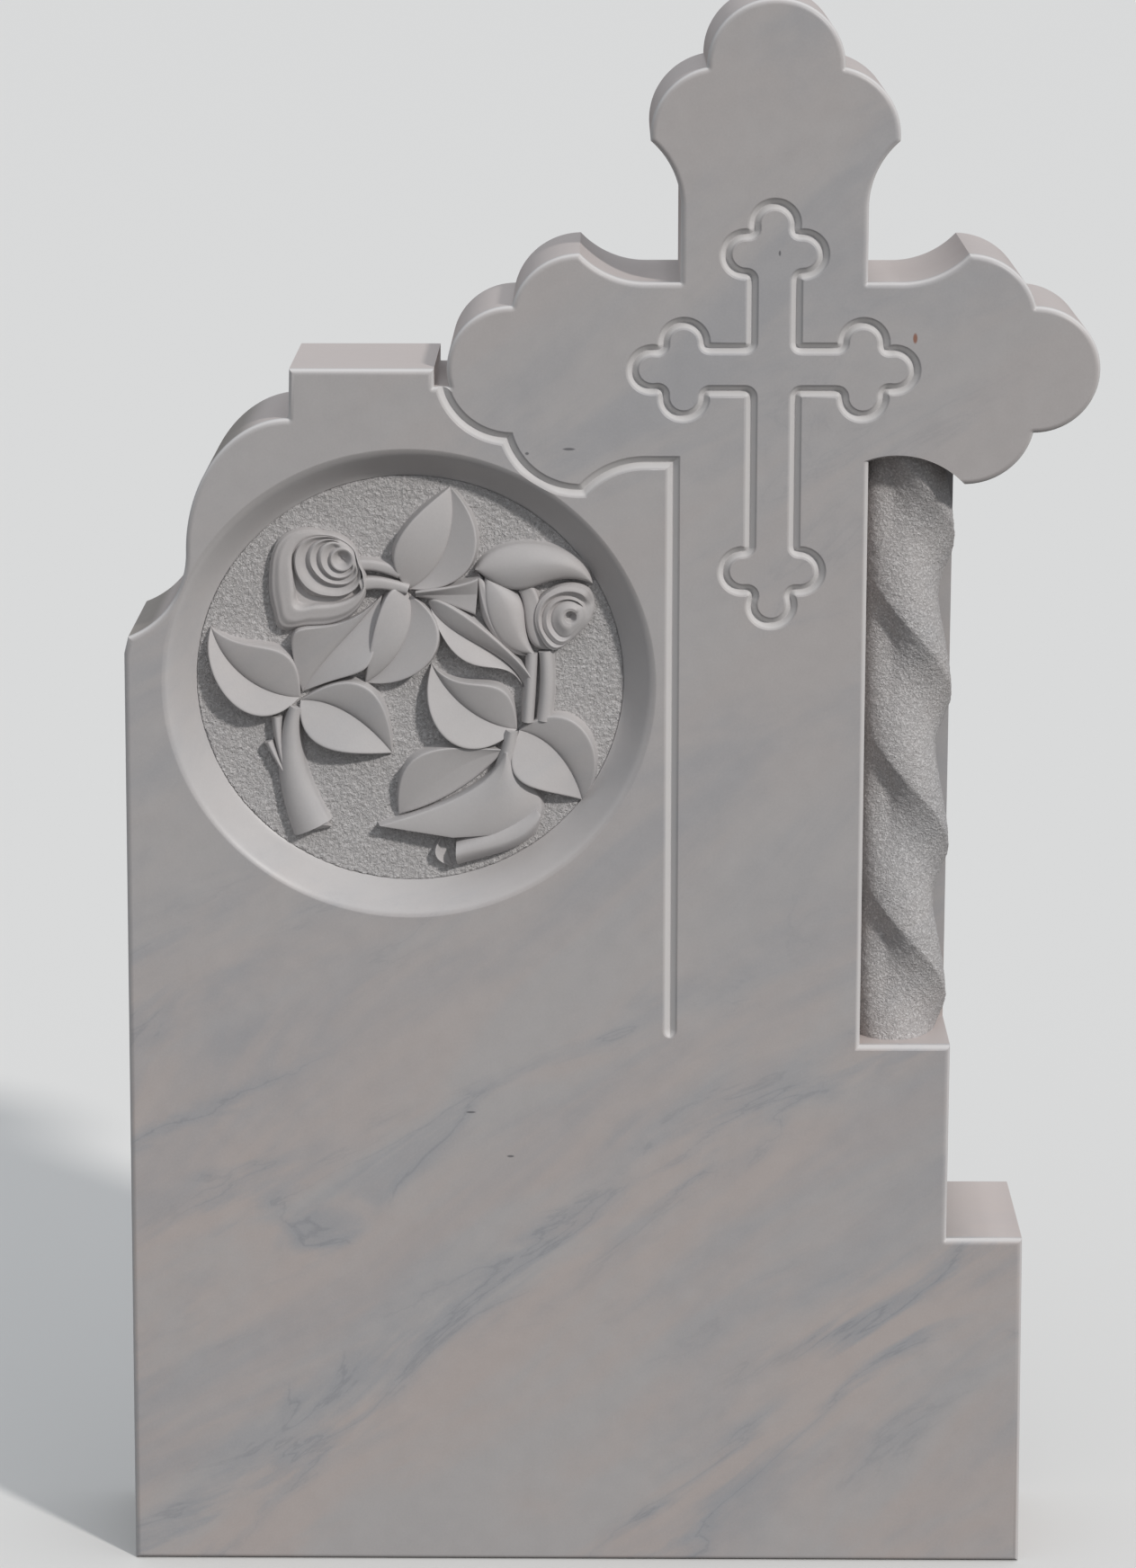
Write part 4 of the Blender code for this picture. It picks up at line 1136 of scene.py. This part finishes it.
def marble_group():
    """Clouds, streaks and grain of the marble. The streaks are stronger in the lower part of the slab."""
    tree = bpy.data.node_groups.new("marble_clouds", "ShaderNodeTree")
    tree.interface.new_socket("Streaks", in_out="INPUT", socket_type="NodeSocketFloat")
    tree.interface.new_socket("Color", in_out="OUTPUT", socket_type="NodeSocketColor")
    streaks = tree.nodes.new("NodeGroupInput").outputs["Streaks"]
    outside = tree.nodes.new("NodeGroupOutput")
    coords = coordinates(tree)
    turned = node(tree, "Mapping", {"Vector": coords, "Rotation": STREAK_TURN})[0]
    along = node(tree, "Mapping", {"Vector": turned, "Scale": STREAK_DRAWN})[0]

    low = between(tree, split(tree, coords)["Z"], *STREAK_HEIGHTS)
    low = arithmetic(tree, "ADD", times(tree, low, 0.75), 0.25)
    clouds = cloudy(tree, along, scale=3.2, detail=5, roughness=0.55, distortion=0.6)
    colour = tint(tree, times(tree, between(tree, clouds, 0.40, 0.58), low), BASE, PINK)
    haze = cloudy(tree, along, scale=2.1, detail=6, roughness=0.6, distortion=0.9)
    colour = tint(tree, times(tree, between(tree, haze, 0.46, 0.66), 0.6), colour, GREY)

    veins = cloudy(tree, along, scale=4.2, detail=6, roughness=0.55, distortion=0.7)
    ridge = arithmetic(tree, "ABSOLUTE", arithmetic(tree, "SUBTRACT", veins, 0.5))
    patches = cloudy(tree, along, scale=2.7, detail=3, roughness=0.5, distortion=0.4)
    patches = between(tree, patches, 0.47, 0.63)
    for width, strength, shade in STREAK_WIDTHS:
        share = times(tree, between(tree, ridge, width, 0.0), patches, low, streaks, strength)
        colour = tint(tree, share, colour, shade)

    grain = times(tree, cloudy(tree, coords, scale=620, detail=2, roughness=0.6), 0.10)
    mottled = times(tree, cloudy(tree, coords, scale=60, detail=4, roughness=0.6), 0.10)
    colour = tint(tree, arithmetic(tree, "ADD", grain, mottled), colour, CRYSTAL)
    tree.links.new(colour, outside.inputs["Color"])
    return tree


def oval(tree, parts, x, z, wide, tall):
    """The square of the distance from a place on the face, measured in an oval's widths and heights."""
    across = arithmetic(tree, "DIVIDE", arithmetic(tree, "SUBTRACT", parts["X"], x), wide)
    up = arithmetic(tree, "DIVIDE", arithmetic(tree, "SUBTRACT", parts["Z"], z), tall)
    return arithmetic(tree, "ADD", times(tree, across, across), times(tree, up, up))


def slab_finish_and_painted_light(tree, coords, colour, fresh):
    """The slab's colour, with its sawn sides, painted shade on its left sides, stains, cut edges made lighter
    with a painted highlight, and freshly cut coves.
    """
    parts = split(tree, coords)

    def depth(limits):
        return between(tree, parts["Y"], FACE_Y + limits[0], FACE_Y + limits[1])

    away = arithmetic(tree, "SQRT", oval(tree, parts, MEDALLION_X - MIDDLE_X, MEDALLION_Z, 1, SQUASH))
    outside = arithmetic(tree, "MAXIMUM", between(tree, away, *RIM_FADE), depth(PAST_MEDALLION))
    in_bay = times(tree, between(tree, parts["X"], *BAY_ACROSS), between(tree, parts["Z"], *BAY_TOP),
                   between(tree, parts["Z"], *BAY_FOOT), depth(BAY_DEPTHS))
    sawn = times(tree, depth(SAWN_DEPTHS), outside, arithmetic(tree, "SUBTRACT", 1, in_bay))
    colour = tint(tree, times(tree, sawn, SAWN_SHARE), colour, SAWN)
    # Painted shade on the left sides below the step, which lie in shade
    painted_shade = times(tree, between(tree, parts["X"], *LEFT_SIDE), depth(SHADED_SIDE_DEPTHS),
                 between(tree, parts["Z"], *UNDER_STEP), between(tree, away, *ROUND_MEDALLION),
                 between(tree, parts["Y"], *BEFORE_BACK))
    colour = tint(tree, times(tree, painted_shade, PAINTED_SHADE_SHARE), colour, PAINTED_SHADE)
    face = depth(FACE_DEPTHS)
    for x, z, wide, tall, shade in SPECKS:
        spot = between(tree, oval(tree, parts, x, z, wide, tall), 1.2, 0.3)
        colour = tint(tree, times(tree, spot, face, STAIN_SHARE), colour, shade)
    cut_in = depth(CUT_DEPTHS)
    # Rounded edges and groove lips: lighter cut stone and a painted highlight
    edge = times(tree, cut_in, depth(ARRIS_DEPTHS), outside, EDGE_HIGHLIGHT_SHARE)
    colour = tint(tree, edge, colour, EDGE_HIGHLIGHT)
    cove = times(tree, cut_in, depth(COVE_DEPTHS), fresh, arithmetic(tree, "SUBTRACT", 1, sawn))
    return tint(tree, cove, colour, FRESH)


def stone(name, clouds, roughness, fresh, bump_size, bump_height, streaks=1.0, sparkle=0.0, on_slab=False):
    """A finish of the marble: how rough, how much lighter than ground faces, and how deep its tool marks."""
    material = bpy.data.materials.new(name)
    material.use_nodes = True
    tree = material.node_tree
    shader = tree.nodes["Principled BSDF"]
    coords = coordinates(tree)
    colour = node(tree, "Group", {"Streaks": streaks}, node_tree=clouds)["Color"]
    if on_slab:
        colour = slab_finish_and_painted_light(tree, coords, colour, fresh)
    else:
        colour = tint(tree, fresh, colour, FRESH)
    if sparkle:
        chips = between(tree, cloudy(tree, coords, scale=620, detail=1, roughness=0.5), 0.52, 0.64)
        colour = tint(tree, times(tree, chips, sparkle), colour, CHIP)
        pits = between(tree, cloudy(tree, coords, scale=540, detail=1, roughness=0.5), 0.44, 0.34)
        colour = tint(tree, times(tree, pits, sparkle), colour, PIT)
    wear = times(tree, cloudy(tree, coords, scale=35, detail=4, roughness=0.6), 0.16)
    rough = arithmetic(tree, "ADD", wear, roughness - 0.08)
    marks = cloudy(tree, coords, bump_size, detail=3, roughness=0.65)
    bump = node(tree, "Bump", {"Strength": 1.0, "Distance": bump_height, "Height": marks})["Normal"]
    plug(tree, shader, {"Base Color": colour, "Roughness": rough, "Specular IOR Level": 0.4, "Normal": bump})
    return material


def plain_floor():
    """A pale floor that throws little light back up, as dark ground does."""
    deselect()
    bpy.ops.mesh.primitive_plane_add(size=FLOOR_SIZE, location=(0, FLOOR_Y, LOW.z))
    floor = bpy.context.object
    floor.name = "studio_floor"
    material = bpy.data.materials.new("pale_floor")
    material.use_nodes = True
    tree = material.node_tree
    shader = tree.nodes["Principled BSDF"]
    seen = node(tree, "LightPath", {})["Is Camera Ray"]
    plug(tree, shader, {"Base Color": tint(tree, seen, FLOOR_BOUNCE, FLOOR_SEEN), "Roughness": 0.9})
    floor.data.materials.append(material)


def studio():
    """The pale sky, brighter overhead, the key light from the front right, and the photograph's camera."""
    world = bpy.data.worlds.new("soft_studio")
    bpy.context.scene.world = world
    world.use_nodes = True
    tree = world.node_tree
    upwards = split(tree, coordinates(tree, "Generated"))["Z"]
    strength = node(tree, "MapRange", {"Value": upwards, "To Min": SKY_LOW, "To Max": SKY_HIGH})["Result"]
    plug(tree, tree.nodes["Background"], {"Color": SKY, "Strength": strength})
    key = bpy.data.lights.new("key_light", "SUN")
    key.energy = KEY
    key.angle = KEY_SPREAD
    key.color = KEY_TINT
    lamp = bpy.data.objects.new("key_light", key)
    bpy.context.scene.collection.objects.link(lamp)
    flat = math.cos(LIGHT_RISE)
    towards = Vector((flat * math.cos(LIGHT_TURN), -flat * math.sin(LIGHT_TURN), math.sin(LIGHT_RISE)))
    lamp.rotation_euler = (-towards).to_track_quat("-Z", "Y").to_euler()
    view = bpy.data.cameras.new("photo_camera")
    view.lens = LENS
    view.sensor_fit = "VERTICAL"
    view.sensor_height = SENSOR_HEIGHT
    camera = bpy.data.objects.new("photo_camera", view)
    bpy.context.scene.collection.objects.link(camera)
    camera.location = (CAMERA_X, CAMERA_Y, CAMERA_Z)
    camera.rotation_euler = (math.pi / 2 - CAMERA_PITCH, 0, CAMERA_YAW)
    bpy.context.scene.camera = camera
    bpy.context.scene.view_settings.view_transform = "Standard"


def monument():
    """The slab with its cuts, the column, the medallion's ground and its carving, each with its finish."""
    clouds = marble_group()
    smooth = stone("smooth_marble", clouds, 0.42, fresh=0.32, bump_size=900, bump_height=0.00003,
                   on_slab=True)
    carved = stone("carved_marble", clouds, 0.60, fresh=0.18, bump_size=700, bump_height=0.00006,
                   streaks=0.2)
    hammered = stone("hammered_marble", clouds, 0.80, fresh=0.56, bump_size=620, bump_height=0.0022,
                     streaks=0.1, sparkle=0.28)
    tooled = stone("tooled_marble", clouds, 0.75, fresh=0.30, bump_size=620, bump_height=0.0020,
                   streaks=0.2, sparkle=0.36)
    body = slab()
    for cutter in (mark_cutter(), cross_groove_cutter(), medallion_cutter(), bay_cutter()):
        cut(body, cutter)
    finish_stone(body, smooth, weighted=True)
    finish_stone(column(), tooled, angle=60)
    finish_stone(tooled_ground(), hammered, angle=75)
    for piece in carving():
        finish_stone(piece, carved, angle=38)


monument()
plain_floor()
studio()
